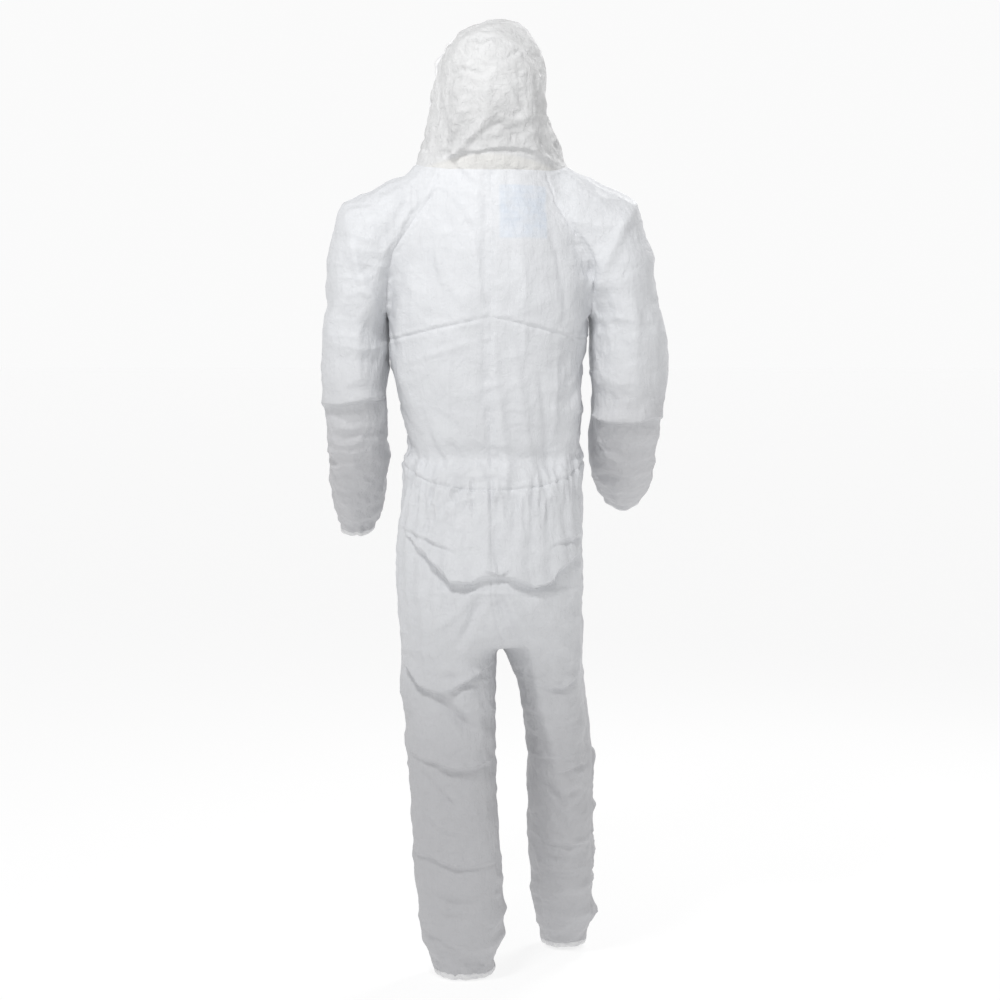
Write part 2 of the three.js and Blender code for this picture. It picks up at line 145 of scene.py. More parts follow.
def convex_hull(points):
    bm = bmesh.new()
    for p in points:
        bm.verts.new(p)
    bmesh.ops.remove_doubles(bm, verts=bm.verts, dist=1e-5)
    hull = bmesh.ops.convex_hull(bm, input=bm.verts, use_existing_faces=False)
    inner = hull["geom_interior"] + hull["geom_unused"]
    spare = [v for v in inner if isinstance(v, bmesh.types.BMVert)]
    bmesh.ops.delete(bm, geom=list(set(spare)), context="VERTS")
    bmesh.ops.triangulate(bm, faces=bm.faces)
    bm.verts.index_update()
    verts = np.array([v.co for v in bm.verts], np.float32)
    faces = np.array([[v.index for v in f.verts] for f in bm.faces], np.uint32)
    bm.free()
    return verts, faces


def blur(field, times):
    """A small smoothing of a distance field, the same in all directions."""
    for _ in range(times):
        for axis in range(3):
            padded = np.pad(field, [(1, 1) if a == axis else (0, 0) for a in range(3)], mode="edge")
            take = [slice(None)] * 3
            parts = []
            for start in range(3):
                take[axis] = slice(start, start + field.shape[axis])
                parts.append(padded[tuple(take)])
            field = (parts[0] + 2 * parts[1] + parts[2]) / 4
    return field


def skin():
    """Vertices and quads of the whole suit's outer surface, with the arms kept clear of the trunk."""
    verts, faces, count = [], [], 0
    for nodes in TUBES:
        for v, f in tube_slices(nodes):
            verts.append(v)
            faces.append(f + count)
            count += len(v)
    cells = openvdb.createLinearTransform(VOXEL)
    solid = openvdb.FloatGrid.createLevelSetFromPolygons(
        np.concatenate(verts), triangles=np.concatenate(faces).astype(np.uint32), transform=cells,
        halfWidth=4.0)
    low, high = solid.evalActiveVoxelBoundingBox()
    low = np.array(low) - 3
    field = np.empty(np.array(high) + 4 - low, np.float32)
    solid.copyToArray(field, ijk=tuple(int(i) for i in low))
    x, y, z = (((np.arange(n) + o) * VOXEL).reshape([-1 if a == k else 1 for k in range(3)])
               for a, (n, o) in enumerate(zip(field.shape, low)))
    for side in SIDES:
        inner = armpit_x(side)
        past = np.maximum(z - ARMPIT_Z, 0) + np.maximum(SLIT_LOW - z, 0)
        slit = np.maximum(SLIT_HALF - np.hypot(x - inner, past), -0.02)
        field = np.maximum(field, slit + 0 * y)
    field = blur(field.astype(np.float32), 2)
    grid = openvdb.FloatGrid(4 * VOXEL)
    grid.copyFromArray(field, ijk=tuple(int(i) for i in low))
    grid.transform = cells
    points, quads = grid.convertToQuads(isovalue=0.0)
    return np.array(points, float), np.array(quads, int)


def armpit_x(side):
    """x midway between the trunk's side and the sleeve below the armpit."""
    sign = SIDES[side]
    trunk = [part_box(f"{side}_{n}_panel") for n in ("front", "lower_back")]
    edge = max(sign * (b[1] if sign > 0 else b[0]).x for b in trunk)
    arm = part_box(f"{side}_sleeve_upper_arm")
    start = (arm[0] if sign > 0 else arm[1]).x * sign
    return sign * (edge + start) / 2


def new_object(name, points, faces):
    mesh = bpy.data.meshes.new(name)
    mesh.from_pydata([tuple(p) for p in points], [], [tuple(int(i) for i in f) for f in faces])
    mesh.update()
    obj = bpy.data.objects.new(name, mesh)
    bpy.context.scene.collection.objects.link(obj)
    return obj


def sides_of(quads):
    """The four sides of every quad as pairs of points: all first sides, then all second ones and so on."""
    return np.concatenate([quads[:, [k, (k + 1) % 4]] for k in range(4)])


def unique_edges(quads):
    return np.unique(np.sort(sides_of(quads), axis=1), axis=0)


def renumbered(count, quads):
    """The points out of count that quads use, and the quads in terms of those points alone."""
    used = np.unique(quads)
    place = np.zeros(count, int)
    place[used] = np.arange(len(used))
    return used, place[quads]


def face_outwards(obj):
    bm = bmesh.new()
    bm.from_mesh(obj.data)
    bmesh.ops.recalc_face_normals(bm, faces=bm.faces)
    bm.to_mesh(obj.data)
    bm.free()


def relaxed(points, edges, times, share=0.5):
    """Points moved towards the middle of their neighbours."""
    a, b = edges.T
    count = len(points)
    degree = np.bincount(a, minlength=count) + np.bincount(b, minlength=count)
    for _ in range(times):
        total = np.stack([np.bincount(a, points[b, k], count) + np.bincount(b, points[a, k], count)
                          for k in range(3)], axis=1)
        points = points + share * (total / degree[:, None] - points)
    return points


def smoothstep(low, high, value):
    t = np.clip((value - low) / (high - low), 0, 1)
    return t * t * (3 - 2 * t)


def bump(middle, half, value):
    """1 at the middle, falling smoothly to 0 at half away from it."""
    return 1 - smoothstep(0, half, np.abs(value - middle))


# ---- Landmarks ----
HEM_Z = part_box("left_leg_shin")[0].z
LEG_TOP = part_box("left_leg_hip_fold")[1].z
COLLAR_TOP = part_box("collar_band")[1].z
CROTCH = (-0.017, -0.85)          # x and z of the fork between the legs
CENTRE_LEAN = -0.77               # below it the centre seam leans over to the fork
SLEEVE_SPLIT = -0.360             # where upper and lower sleeve meet, between the two bends of the arm
THIGH_SPLIT = -0.977              # the same between hip and knee
SLEEVE_LOW = -0.75                # below every cuff
SILL_Z = 0.055                    # lowest edge of the face opening
SLOT_HALF = 0.008                 # half the gap that the zip closes
SLOT_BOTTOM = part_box("zip_bottom_stop")[0].z
STRIP_HALF = 0.027                # half the flat strip under the storm flap
RIM = MOUNTS["face_opening_rim"]
CUFFS = {side: MOUNTS[f"{side}_wrist_hem"] for side in SIDES}
HOOD_TURN = math.atan2(RIM["axis"][0], -RIM["axis"][1])
CROWN_HALF = 0.046
HEM_TUCK = 0.009                  # the fabric's edge is turned in this far from the CAD's rim
SEAM_LOW = -0.390                 # where the raglan seam has run out into the slit below the armpit
ARM_X = 0.19                      # beyond it on either side lies an arm

# seams as lines of (x, z), or (y, z) for the waist, from the CAD
RAGLAN = {
    "left": [(0.096, 0.002), (0.112, -0.050), (0.146, -0.095), (0.180, -0.146), (0.188, -0.200)],
    "right": [(-0.100, 0.002), (-0.118, -0.054), (-0.150, -0.105), (-0.176, -0.155), (-0.184, -0.200)],
}
for arm_side in SIDES:
    RAGLAN[arm_side] += [(armpit_x(arm_side), ARMPIT_Z), (armpit_x(arm_side), SEAM_LOW)]
YOKE = [(-0.300, -0.332), (0, -0.264), (0.300, -0.332)]
WAIST = [(-0.400, -0.535), (0, -0.535), (0.110, -0.578), (0.400, -0.690)]


def beyond(mount, points):
    """How far points lie past a mount's face, along its axis."""
    return (points - np.array(mount["pos_m"])) @ np.array(mount["axis"])


def waist_height(points):
    """Signed height over the waist line, which dips behind."""
    y, z = np.array(WAIST).T
    return points[:, 2] - np.interp(points[:, 1], y, z)


def opening_inset(points):
    """How far inside the nearest opening's edge each point lies; what is negative is cut away."""
    face = np.maximum(-beyond(RIM, points), SILL_Z - points[:, 2])
    parts = [points[:, 2] - HEM_Z, face]
    for side, sign in SIDES.items():
        near = (sign * points[:, 0] > ARM_X) & (points[:, 2] < -0.5) & (points[:, 2] > -0.8)
        parts.append(np.where(near, -beyond(CUFFS[side], points), 1.0))
    return np.minimum.reduce(parts)


def is_sleeve(points, side):
    """Whether points lie on the arm's side of the raglan seam."""
    x, z = np.array(RAGLAN[side][::-1]).T
    outside = SIDES[side] * (points[:, 0] - np.interp(points[:, 2], z, x)) > 0
    return outside & (points[:, 2] < 0) & (points[:, 2] > SLEEVE_LOW)


def is_arm(points):
    return is_sleeve(points, "left") | is_sleeve(points, "right")


def centre_x(z):
    """x of the line that parts left from right."""
    return np.interp(z, [-1.49, -1.24, -0.89, CROTCH[1], CENTRE_LEAN, 0],
                     [-0.046, -0.042, -0.017, CROTCH[0], 0, 0])


def drop_loose(points, quads, keep):
    """The mesh with only the kept faces and their points."""
    used, quads = renumbered(len(points), quads[keep])
    return points[used], quads


# ---- The cloth ----
SIM_FRAMES = 18
GROWTH = 1.025        # the fabric's own size over the space it fills


def draped(points, quads):
    """The skin after a short cloth simulation in which the fabric is a little larger than its shape."""
    obj = new_object("cloth", points, quads)
    obj.shape_key_add(name="Basis")
    larger = obj.shape_key_add(name="larger")
    larger.data.foreach_set("co", grown(points).astype(np.float32).ravel())
    larger.value = 0
    pins = obj.vertex_groups.new(name="pins")
    weight = pin_weights(points)
    for level in np.unique(weight):
        pins.add([int(i) for i in np.nonzero(weight == level)[0]], float(level), "REPLACE")
    cloth = obj.modifiers.new("cloth", "CLOTH")
    s = cloth.settings
    s.quality = 3
    s.mass = 0.12
    s.tension_stiffness = s.compression_stiffness = 14
    s.shear_stiffness = 6
    s.bending_stiffness = 0.6
    s.tension_damping = s.compression_damping = s.shear_damping = 6
    s.bending_damping = 0.5
    s.air_damping = 2
    s.vertex_group_mass = "pins"
    s.pin_stiffness = 1.0
    s.rest_shape_key = larger
    s.effector_weights.gravity = 0.15
    cloth.collision_settings.use_collision = False
    cloth.point_cache.frame_start = 1
    cloth.point_cache.frame_end = SIM_FRAMES
    for number in range(1, SIM_FRAMES + 1):
        bpy.context.scene.frame_set(number)
    shape = obj.evaluated_get(bpy.context.evaluated_depsgraph_get())
    result = coordinates(shape.data)
    bpy.data.objects.remove(obj)
    bpy.context.scene.frame_set(1)
    return result


def pin_weights(points):
    """1 where the fabric is held, and a little everywhere, which stands for the air and stiffness inside."""
    x, y, z = points.T
    weight = np.full(len(points), 0.04)
    weight[opening_inset(points) < 0.008] = 1
    weight[(np.abs(x) < STRIP_HALF) & (y < -0.05) & (z > -0.74) & (z < SILL_Z)] = 1
    weight[(np.abs(waist_height(points)) < 0.004) & (np.abs(x) < 0.186)] = 1
    return weight


def grown(points):
    """The shape whose edge lengths are the fabric's own: larger all over, most at the waist's gathers."""
    out = points * GROWTH
    near = bump(0, 0.10, waist_height(points)) * (np.abs(points[:, 0]) < 0.187)
    out[:, :2] += 0.06 * near[:, None] * points[:, :2]
    return out


# ---- Cutting the skin into its panels ----
PANELS = [f"{side}_{name}" for side in SIDES for name in (
    "front_panel_fabric", "upper_back_fabric", "lower_back_fabric", "seat_fabric", "hip_front_fabric",
    "upper_sleeve_fabric", "lower_sleeve_fabric", "upper_leg_fabric", "lower_leg_fabric", "hood_side_fabric")]
PANELS += ["hood_crown_fabric", "collar_fabric_band"]


CUT_REACH = 0.012     # a plane cuts only faces whose middle is this near to it


def line_planes(line, across, allowed):
    """Cutting planes along a line of (u, z) points, where u runs along axis 0 or 1. allowed picks the faces
    from their centres, the u where a stretch begins and its two heights."""
    for (u0, z0), (u1, z1) in zip(line, line[1:]):
        point, normal = np.array([0.0, 0.0, z0]), np.array([0.0, 0.0, u0 - u1])
        point[across], normal[across] = u0, z1 - z0
        facing = normal / np.linalg.norm(normal)
        yield (tuple(point), tuple(normal),
               lambda c: (np.abs((c - point) @ facing) < CUT_REACH) & allowed(c, u0, z0, z1))


def close_to(level, values_at):
    return np.abs(values_at - level) < CUT_REACH


def trunk_planes():
    """The planes for the seams of trunk, legs and sleeves."""
    for level in (0.0, COLLAR_TOP, LEG_TOP, THIGH_SPLIT):
        yield (0, 0, level), (0, 0, 1), lambda c: close_to(level, c[:, 2])
    yield (0, 0, SLEEVE_SPLIT), (0, 0, 1), lambda c: close_to(SLEEVE_SPLIT, c[:, 2]) & is_arm(c)
    for line in RAGLAN.values():
        yield from line_planes(line, 0, lambda c, u, z0, z1: (
            (c[:, 2] > min(z0, z1) - 0.004) & (c[:, 2] < min(max(z0, z1) + 0.004, 0))))
    inside = lambda c: ~is_arm(c) & (c[:, 2] < 0)
    yield (0, 0, 0), (1, 0, 0), lambda c: close_to(0, c[:, 0]) & (c[:, 2] < 0) & (c[:, 2] > CENTRE_LEAN)
    yield ((0, 0, CENTRE_LEAN), (CROTCH[1] - CENTRE_LEAN, 0, -CROTCH[0]),
           lambda c: close_to(centre_x(c[:, 2]), c[:, 0]) & (c[:, 2] < CENTRE_LEAN) & (c[:, 2] > LEG_TOP))
    yield (0, 0, 0), (0, 1, 0), lambda c: close_to(0, c[:, 1]) & inside(c) & (c[:, 2] > LEG_TOP - 0.004)
    yield from line_planes(WAIST, 1, lambda c, u, z0, z1: inside(c) & ((c[:, 1] > 0) == (u >= 0)))
    yield from line_planes(YOKE, 0, lambda c, u, z0, z1: (
        (c[:, 1] > -0.004) & inside(c) & ((c[:, 0] > 0) == (u >= 0))))


def opening_planes():
    """The planes for the zip's slot, the hood's crown and the edges of all openings."""
    across = Vector((math.cos(HOOD_TURN), math.sin(HOOD_TURN), 0))
    for sign in (1, -1):
        yield ((sign * SLOT_HALF, 0, 0), (1, 0, 0),
               lambda c: close_to(sign * SLOT_HALF, c[:, 0]) & (c[:, 1] < -0.05)
               & (c[:, 2] > SLOT_BOTTOM - 0.01) & (c[:, 2] < SILL_Z + 0.03))
        yield (across * sign * CROWN_HALF, across,
               lambda c: close_to(sign * CROWN_HALF, c @ np.array(across))
               & (c[:, 2] > COLLAR_TOP - 0.004) & (hood_depth(c) > -0.07))
    yield ((0, 0, SLOT_BOTTOM), (0, 0, 1),
           lambda c: close_to(SLOT_BOTTOM, c[:, 2]) & (c[:, 1] < 0) & (np.abs(c[:, 0]) < 0.02))
    yield (0, 0, HEM_Z + HEM_TUCK), (0, 0, 1), lambda c: c[:, 2] < HEM_Z + 0.02
    for mount in (RIM, *CUFFS.values()):
        point = Vector(mount["pos_m"]) - HEM_TUCK * Vector(mount["axis"])
        yield (point, mount["axis"], lambda c: close_to(-HEM_TUCK, beyond(mount, c)) & (
            (c[:, 2] > SILL_Z - 0.004) if mount is RIM else (np.abs(c[:, 0]) > ARM_X)))
    yield (0, 0, SILL_Z), (0, 0, 1), lambda c: close_to(SILL_Z, c[:, 2]) & (beyond(RIM, c) > -0.012)


def cutting_planes():
    """All planes in turn. Each test is used before the next plane is asked for."""
    yield from trunk_planes()
    yield from opening_planes()


def hood_depth(points):
    """Distance back from the neck's middle along the way that the hood faces."""
    return points @ np.array([-math.sin(HOOD_TURN), math.cos(HOOD_TURN), 0])


def panel_of(centres):
    """The number in PANELS of the panel that each face belongs to, or -1 where there is none."""
    x, y, z = centres.T
    left = x > centre_x(z)
    found = np.full(len(centres), -1)

    def put(where, name):
        for side, mine in (("left", left), ("right", ~left)):
            found[where & mine] = PANELS.index(f"{side}_{name}")

    front, waist = y < 0, waist_height(centres)
    yoke = np.interp(x, *np.array(YOKE).T)
    put(front & (waist > 0), "front_panel_fabric")
    put(~front & (waist > 0) & (z > yoke), "upper_back_fabric")
    put(~front & (waist > 0) & (z <= yoke), "lower_back_fabric")
    put(front & (waist <= 0), "hip_front_fabric")
    put(~front & (waist <= 0), "seat_fabric")
    put(z < LEG_TOP, "upper_leg_fabric")
    put(z < THIGH_SPLIT, "lower_leg_fabric")
    for side in SIDES:
        arm = is_sleeve(centres, side)
        found[arm] = PANELS.index(f"{side}_upper_sleeve_fabric")
        found[arm & (z < SLEEVE_SPLIT)] = PANELS.index(f"{side}_lower_sleeve_fabric")
    hood = z > COLLAR_TOP
    across = centres @ np.array([math.cos(HOOD_TURN), math.sin(HOOD_TURN), 0])
    found[hood & (across > 0)] = PANELS.index("left_hood_side_fabric")
    found[hood & (across <= 0)] = PANELS.index("right_hood_side_fabric")
    crown = (np.abs(across) < CROWN_HALF) & (hood_depth(centres) > -0.06)
    found[hood & crown] = PANELS.index("hood_crown_fabric")
    found[(z > 0) & (z <= COLLAR_TOP)] = PANELS.index("collar_fabric_band")
    slot = (np.abs(x) < SLOT_HALF) & (y < -0.05) & (z > SLOT_BOTTOM) & (z < SILL_Z + 0.02)
    found[slot | (opening_inset(centres) < HEM_TUCK)] = -1
    return found


def cut_skin(rest, shape, quads):
    """The skin cut along its seams: an object at its simulated shape, with each point's rest place and each
    face's panel number kept as attributes."""
    obj = new_object("skin", rest, quads)
    bm = bmesh.new()
    bm.from_mesh(obj.data)
    moved = bm.verts.layers.float_vector.new("shape")
    bm.verts.ensure_lookup_table()
    for v, place in zip(bm.verts, shape):
        v[moved] = place
    for point, normal, test in cutting_planes():
        bm.faces.ensure_lookup_table()
        centres = np.array([f.calc_center_median() for f in bm.faces])
        chosen = [bm.faces[int(i)] for i in np.nonzero(test(centres))[0]]
        geom = set(chosen)
        for f in chosen:
            geom.update(f.edges)
            geom.update(f.verts)
        bmesh.ops.bisect_plane(bm, geom=list(geom), dist=1e-5, plane_co=point, plane_no=normal)
    number = bm.faces.layers.int.new("panel")
    bm.faces.ensure_lookup_table()
    centres = np.array([f.calc_center_median() for f in bm.faces])
    spare = []
    for f, panel in zip(bm.faces, panel_of(centres)):
        f[number] = int(panel)
        if panel < 0:
            spare.append(f)
    bmesh.ops.delete(bm, geom=spare, context="FACES")
    bm.to_mesh(obj.data)
    bm.free()
    return obj


def subdivided(obj):
    """Places, rest places, quads and panel numbers of the cut skin after one smooth subdivision."""
    mesh = obj.data
    rest = mesh.attributes.new("rest", "FLOAT_VECTOR", "POINT")
    rest.data.foreach_set("vector", coordinates(mesh).astype(np.float32).ravel())
    mesh.vertices.foreach_set("co", values(mesh.attributes["shape"].data, "vector", 3).ravel())
    finer = obj.modifiers.new("finer", "SUBSURF")
    finer.levels = 1
    fine = obj.evaluated_get(bpy.context.evaluated_depsgraph_get()).to_mesh()
    quads = values(fine.loops, "vertex_index", 1, np.int32).reshape(-1, 4).astype(int)
    at_rest = values(fine.attributes["rest"].data, "vector", 3).astype(float)
    panel = values(fine.attributes["panel"].data, "value", 1, np.int32).ravel()
    points = coordinates(fine)
    bpy.data.objects.remove(obj)
    return points, at_rest, quads, panel


def point_normals(points, quads):
    a, b, c, d = (points[quads[:, k]] for k in range(4))
    face = np.cross(c - a, d - b)
    total = np.stack([sum(np.bincount(quads[:, k], face[:, axis], len(points)) for k in range(4))
                      for axis in range(3)], axis=1)
    return total / np.maximum(np.linalg.norm(total, axis=1), 1e-12)[:, None]


# ---- Relief: seams, gathers, creases and crinkles ----
LATTICE = np.random.default_rng(7).random((64, 64, 64)) * 2 - 1


def noise(points, size, shift=0.0):
    """Smooth noise from -1 to 1 whose lumps are about `size` across, which may differ by axis."""
    place = points / np.array(size) + 17.31 * shift + 1000
    cell = np.floor(place).astype(int)
    part = place - cell
    part = part * part * (3 - 2 * part)
    total = np.zeros(len(points))
    for corner in np.ndindex(2, 2, 2):
        weight = np.prod(np.where(corner, part, 1 - part), axis=1)
        i, j, k = ((cell + corner) % len(LATTICE)).T
        total += weight * LATTICE[i, j, k]
    return total


def sharp(points, size, shift=0.0):
    """Noise with sharp ridges, as crumpled film has."""
    return 1 - 2.6 * np.abs(noise(points, size, shift))


def seam_distance(points, quads, panel, unseen, reach=0.024):
    """Distance of each point along the fabric to the nearest seam, as far as reach."""
    edges = np.sort(sides_of(quads), axis=1)
    owner = np.tile(panel, 4)
    order = np.lexsort((owner, edges[:, 1], edges[:, 0]))
    edges, owner = edges[order], owner[order]
    same = np.all(edges[1:] == edges[:-1], axis=1)
    seam = same & (owner[1:] != owner[:-1])
    ends = edges[1:][seam]
    ends = ends[~unseen(points[ends].mean(axis=1))]
    distance = np.full(len(points), reach)
    distance[ends.ravel()] = 0
    unique = edges[np.concatenate([[True], ~same])]
    a, b = unique.T
    length = np.linalg.norm(points[a] - points[b], axis=1)
    for _ in range(9):
        np.minimum.at(distance, b, distance[a] + length)
        np.minimum.at(distance, a, distance[b] + length)
    return distance


def is_seamless(points):
    """Whether points lie where two panels are one piece of fabric in the real coverall."""
    sleeve = (np.abs(points[:, 2] - SLEEVE_SPLIT) < 0.002) & (np.abs(points[:, 0]) > ARM_X)
    return sleeve | (np.abs(points[:, 2] - THIGH_SPLIT) < 0.002) | (np.abs(points[:, 2] - LEG_TOP) < 0.002)


def along_line(u, v, line):
    """Signed distance of (u, v) from a line of points, positive above it, and the share of the way along."""
    steps = np.linalg.norm(np.diff(line, axis=0), axis=1)
    starts = np.concatenate([[0], np.cumsum(steps)[:-1]]) / steps.sum()
    best = np.full(u.shape, 9.0)
    signed, share = best.copy(), np.zeros(u.shape)
    for (u0, v0), (u1, v1), step, start in zip(line, line[1:], steps, starts):
        du, dv = (u1 - u0) / step, (v1 - v0) / step
        t = np.clip((u - u0) * du + (v - v0) * dv, 0, step)
        away = np.hypot(u - u0 - t * du, v - v0 - t * dv)
        side = (v - v0) * du - (u - u0) * dv
        if du < 0:
            side = -side
        closer = away < best
        best = np.where(closer, away, best)
        signed = np.where(closer, np.sign(side) * away, signed)
        share = np.where(closer, start + t / steps.sum(), share)
    return signed, share


# creases on the back as (kind, height, width, line of x and z), all in mm
BACK_CREASES = [
    ("fold", 9, 22, [(150, -672), (112, -705), (75, -742), (34, -742), (-10, -726)]),
    ("fold", 9, 22, [(-10, -726), (-40, -736), (-77, -750), (-114, -740), (-161, -686)]),
    ("fold", 4, 12, [(166, -651), (79, -682)]), ("fold", 4, 12, [(-120, -678), (-172, -660)]),
    ("valley", 5, 9, [(-2, -600), (-6, -660), (-10, -722)]),
    ("ridge", 4, 9, [(-14, -740), (-46, -800), (-82, -862)]),
    ("valley", 4, 9, [(-10, -752), (-30, -810), (-52, -862)]),
    ("valley", 4, 10, [(4, -745), (34, -800), (66, -866)]),
    ("ridge", 3, 9, [(20, -742), (60, -790), (104, -830)]),
    ("fold", 1.0, 7, [(205, -307), (120, -288), (38, -266)]), ("ridge", 1.8, 6, [(158, -347), (27, -308)]),
    ("fold", 0.8, 7, [(-15, -262), (-100, -284), (-177, -310)]),
    ("ridge", 2.2, 5, [(73, -282), (75, -400), (74, -517)]), ("ridge", 1.8, 5, [(-59, -279), (-59, -331)]),
    ("ridge", 1.6, 5, [(-120, -330), (-115, -470)]), ("valley", 5, 13, [(8, 2), (8, -121), (6, -243)]),
    ("valley", 4, 12, [(6, -243), (8, -384), (-1, -555)]),
    ("fold", 1.6, 12, [(95, -30), (147, -78), (196, -152)]),
    ("fold", 1.6, 12, [(-110, -45), (-142, -74), (-192, -160)]), ("ridge", 2, 4, [(151, -30), (151, -78)]),
    ("ridge", 2, 4, [(138, -28), (139, -76)]),
    ("ridge", 5, 10, [(-263, -61), (-246, -93), (-207, -169), (-188, -250)]),
    ("ridge", 5, 10, [(262, -90), (248, -172), (213, -255)]),
    ("ridge", 4, 13, [(178, -335), (120, -440), (62, -560)]),
    ("valley", 3.5, 11, [(150, -370), (112, -460), (80, -555)]),
    ("ridge", 4, 11, [(-4, -330), (-18, -450), (-32, -560)]),
    ("ridge", 4, 11, [(-40, -320), (-60, -440), (-78, -555)]),
    ("valley", 3.5, 10, [(-90, -360), (-100, -460), (-108, -555)]),
    ("ridge", 4, 11, [(-166, -365), (-150, -470), (-128, -556)]),
    ("ridge", 2.5, 10, [(110, -140), (80, -200), (40, -250)]),
    ("ridge", 2, 9, [(30, -120), (22, -190), (12, -250)]),
    ("ridge", 2, 9, [(-45, -140), (-60, -200), (-55, -255)]),
    ("valley", 2, 8, [(-110, -120), (-128, -200), (-130, -280)]),
    ("ridge", 2.5, 9, [(236, -200), (244, -300), (238, -380)]),
    ("ridge", 2.5, 9, [(-250, -180), (-262, -290), (-254, -390)]),
    ("fold", 7, 20, [(306, -424), (254, -419), (193, -408)]),
    ("fold", 9, 22, [(-171, -441), (-212, -452), (-259, -455), (-308, -443)]),
    ("valley", 3, 8, [(-190, -500), (-250, -510), (-310, -495)]),
    ("valley", 3, 8, [(200, -470), (260, -480), (320, -470)]),
    ("ridge", 3, 7, [(-200, -540), (-260, -552), (-320, -540)]),
    ("ridge", 2.6, 7, [(215, -520), (290, -535)]), ("valley", 3, 8, [(230, -585), (310, -590)]),
    ("ridge", 4, 7, [(6, 89), (38, 55), (73, 23), (105, -3)]),
    ("valley", 3.5, 6, [(6, 68), (-15, 80), (-38, 57)]),
    ("ridge", 3.5, 7, [(50, 120), (75, 60), (108, 20)]), ("ridge", 3, 6, [(30, 60), (60, 30), (85, 4)]),
    ("ridge", 3, 7, [(-52, 60), (-90, 25), (-125, 4)]),
    ("fold", 2.5, 8, [(110, 0), (55, 26), (0, 36), (-60, 36), (-120, 10)]),
    ("ridge", 2.5, 5, [(-30, 150), (-50, 100), (-80, 60)]),
    ("valley", 3, 6, [(80, 160), (55, 175), (20, 165)]),
    ("ridge", 3, 6, [(60, 225), (20, 215), (-30, 228)]),
    ("valley", 2.5, 6, [(-20, 190), (-50, 205), (-75, 190)]),
    ("ridge", 2, 5, [(40, 190), (55, 130), (60, 85)]),
    ("fold", 7, 16, [(166, -892), (127, -933), (93, -946)]),
    ("fold", 6, 14, [(93, -946), (39, -922), (-2, -897)]),
    ("valley", 9, 12, [(100, -944), (60, -984), (30, -1018)]),
    ("fold", 5, 12, [(131, -1064), (71, -1080), (30, -1080), (-2, -1075)]),
    ("valley", 4, 9, [(129, -1091), (100, -1120), (68, -1151)]),
    ("ridge", 3.5, 8, [(120, -1160), (85, -1190), (30, -1205)]),
    ("fold", 3.5, 10, [(139, -1245), (112, -1249), (70, -1263), (-2, -1262)]),
    ("ridge", 3, 8, [(120, -1330), (70, -1350), (20, -1345)]),
    ("valley", 3, 8, [(120, -1400), (60, -1425)]),
    ("ridge", 5, 11, [(-66, -863), (-88, -956), (-109, -1039), (-124, -1129)]),
    ("fold", 5, 12, [(-97, -937), (-126, -942), (-157, -920)]),
    ("fold", 5, 12, [(-130, -1103), (-167, -1099)]), ("valley", 4, 8, [(-141, -1153), (-158, -1148)]),
    ("valley", 4, 9, [(-85, -1120), (-108, -1144), (-132, -1168)]),
    ("fold", 3.5, 10, [(-101, -1255), (-182, -1259)]),
    ("ridge", 3, 8, [(-110, -1330), (-160, -1350), (-205, -1340)]),
    ("valley", 3, 5, [(-81, -1290), (-87, -1363), (-98, -1447)]),
    ("ridge", 1.4, 4, [(170, -760), (-170, -760)]), ("ridge", 1.4, 4, [(160, -922), (-180, -922)]),
    ("ridge", 1.4, 4, [(150, -1076), (-200, -1076)]),
]

# the same on the front, where the coverall hangs against the knees and bends at the hips and elbows
FRONT_CREASES = [
    ("ridge", 4, 12, [(170, -720), (110, -790), (40, -840)]),
    ("ridge", 4, 12, [(-170, -720), (-110, -790), (-50, -840)]),
    ("ridge", 3, 10, [(150, -900), (80, -880), (10, -860)]),
    ("ridge", 3, 10, [(-150, -905), (-90, -885), (-30, -862)]),
    ("valley", 3, 9, [(110, -930), (50, -900), (0, -872)]),
    ("valley", 3, 9, [(-130, -940), (-80, -910), (-36, -880)]),
    ("valley", 4, 12, [(140, -1040), (80, -1055), (20, -1045)]),
    ("valley", 4, 12, [(-180, -1045), (-120, -1060), (-70, -1050)]),
    ("ridge", 3, 9, [(130, -1150), (70, -1200), (20, -1210)]),
    ("ridge", 3, 9, [(-190, -1150), (-140, -1200), (-90, -1210)]),
    ("valley", 4, 11, [(200, -440), (250, -455), (300, -440)]),
    ("valley", 4, 11, [(-190, -455), (-245, -470), (-300, -455)]),
    ("ridge", 3, 9, [(200, -500), (260, -520), (310, -500)]),
    ("ridge", 3, 9, [(-190, -510), (-250, -530), (-300, -510)]),
    ("ridge", 4, 12, [(215, -240), (160, -190), (90, -120)]),
    ("ridge", 4, 12, [(-205, -240), (-155, -190), (-90, -120)]),
    ("ridge", 3, 10, [(150, -350), (140, -500)]), ("ridge", 3, 10, [(-140, -350), (-135, -500)]),
]


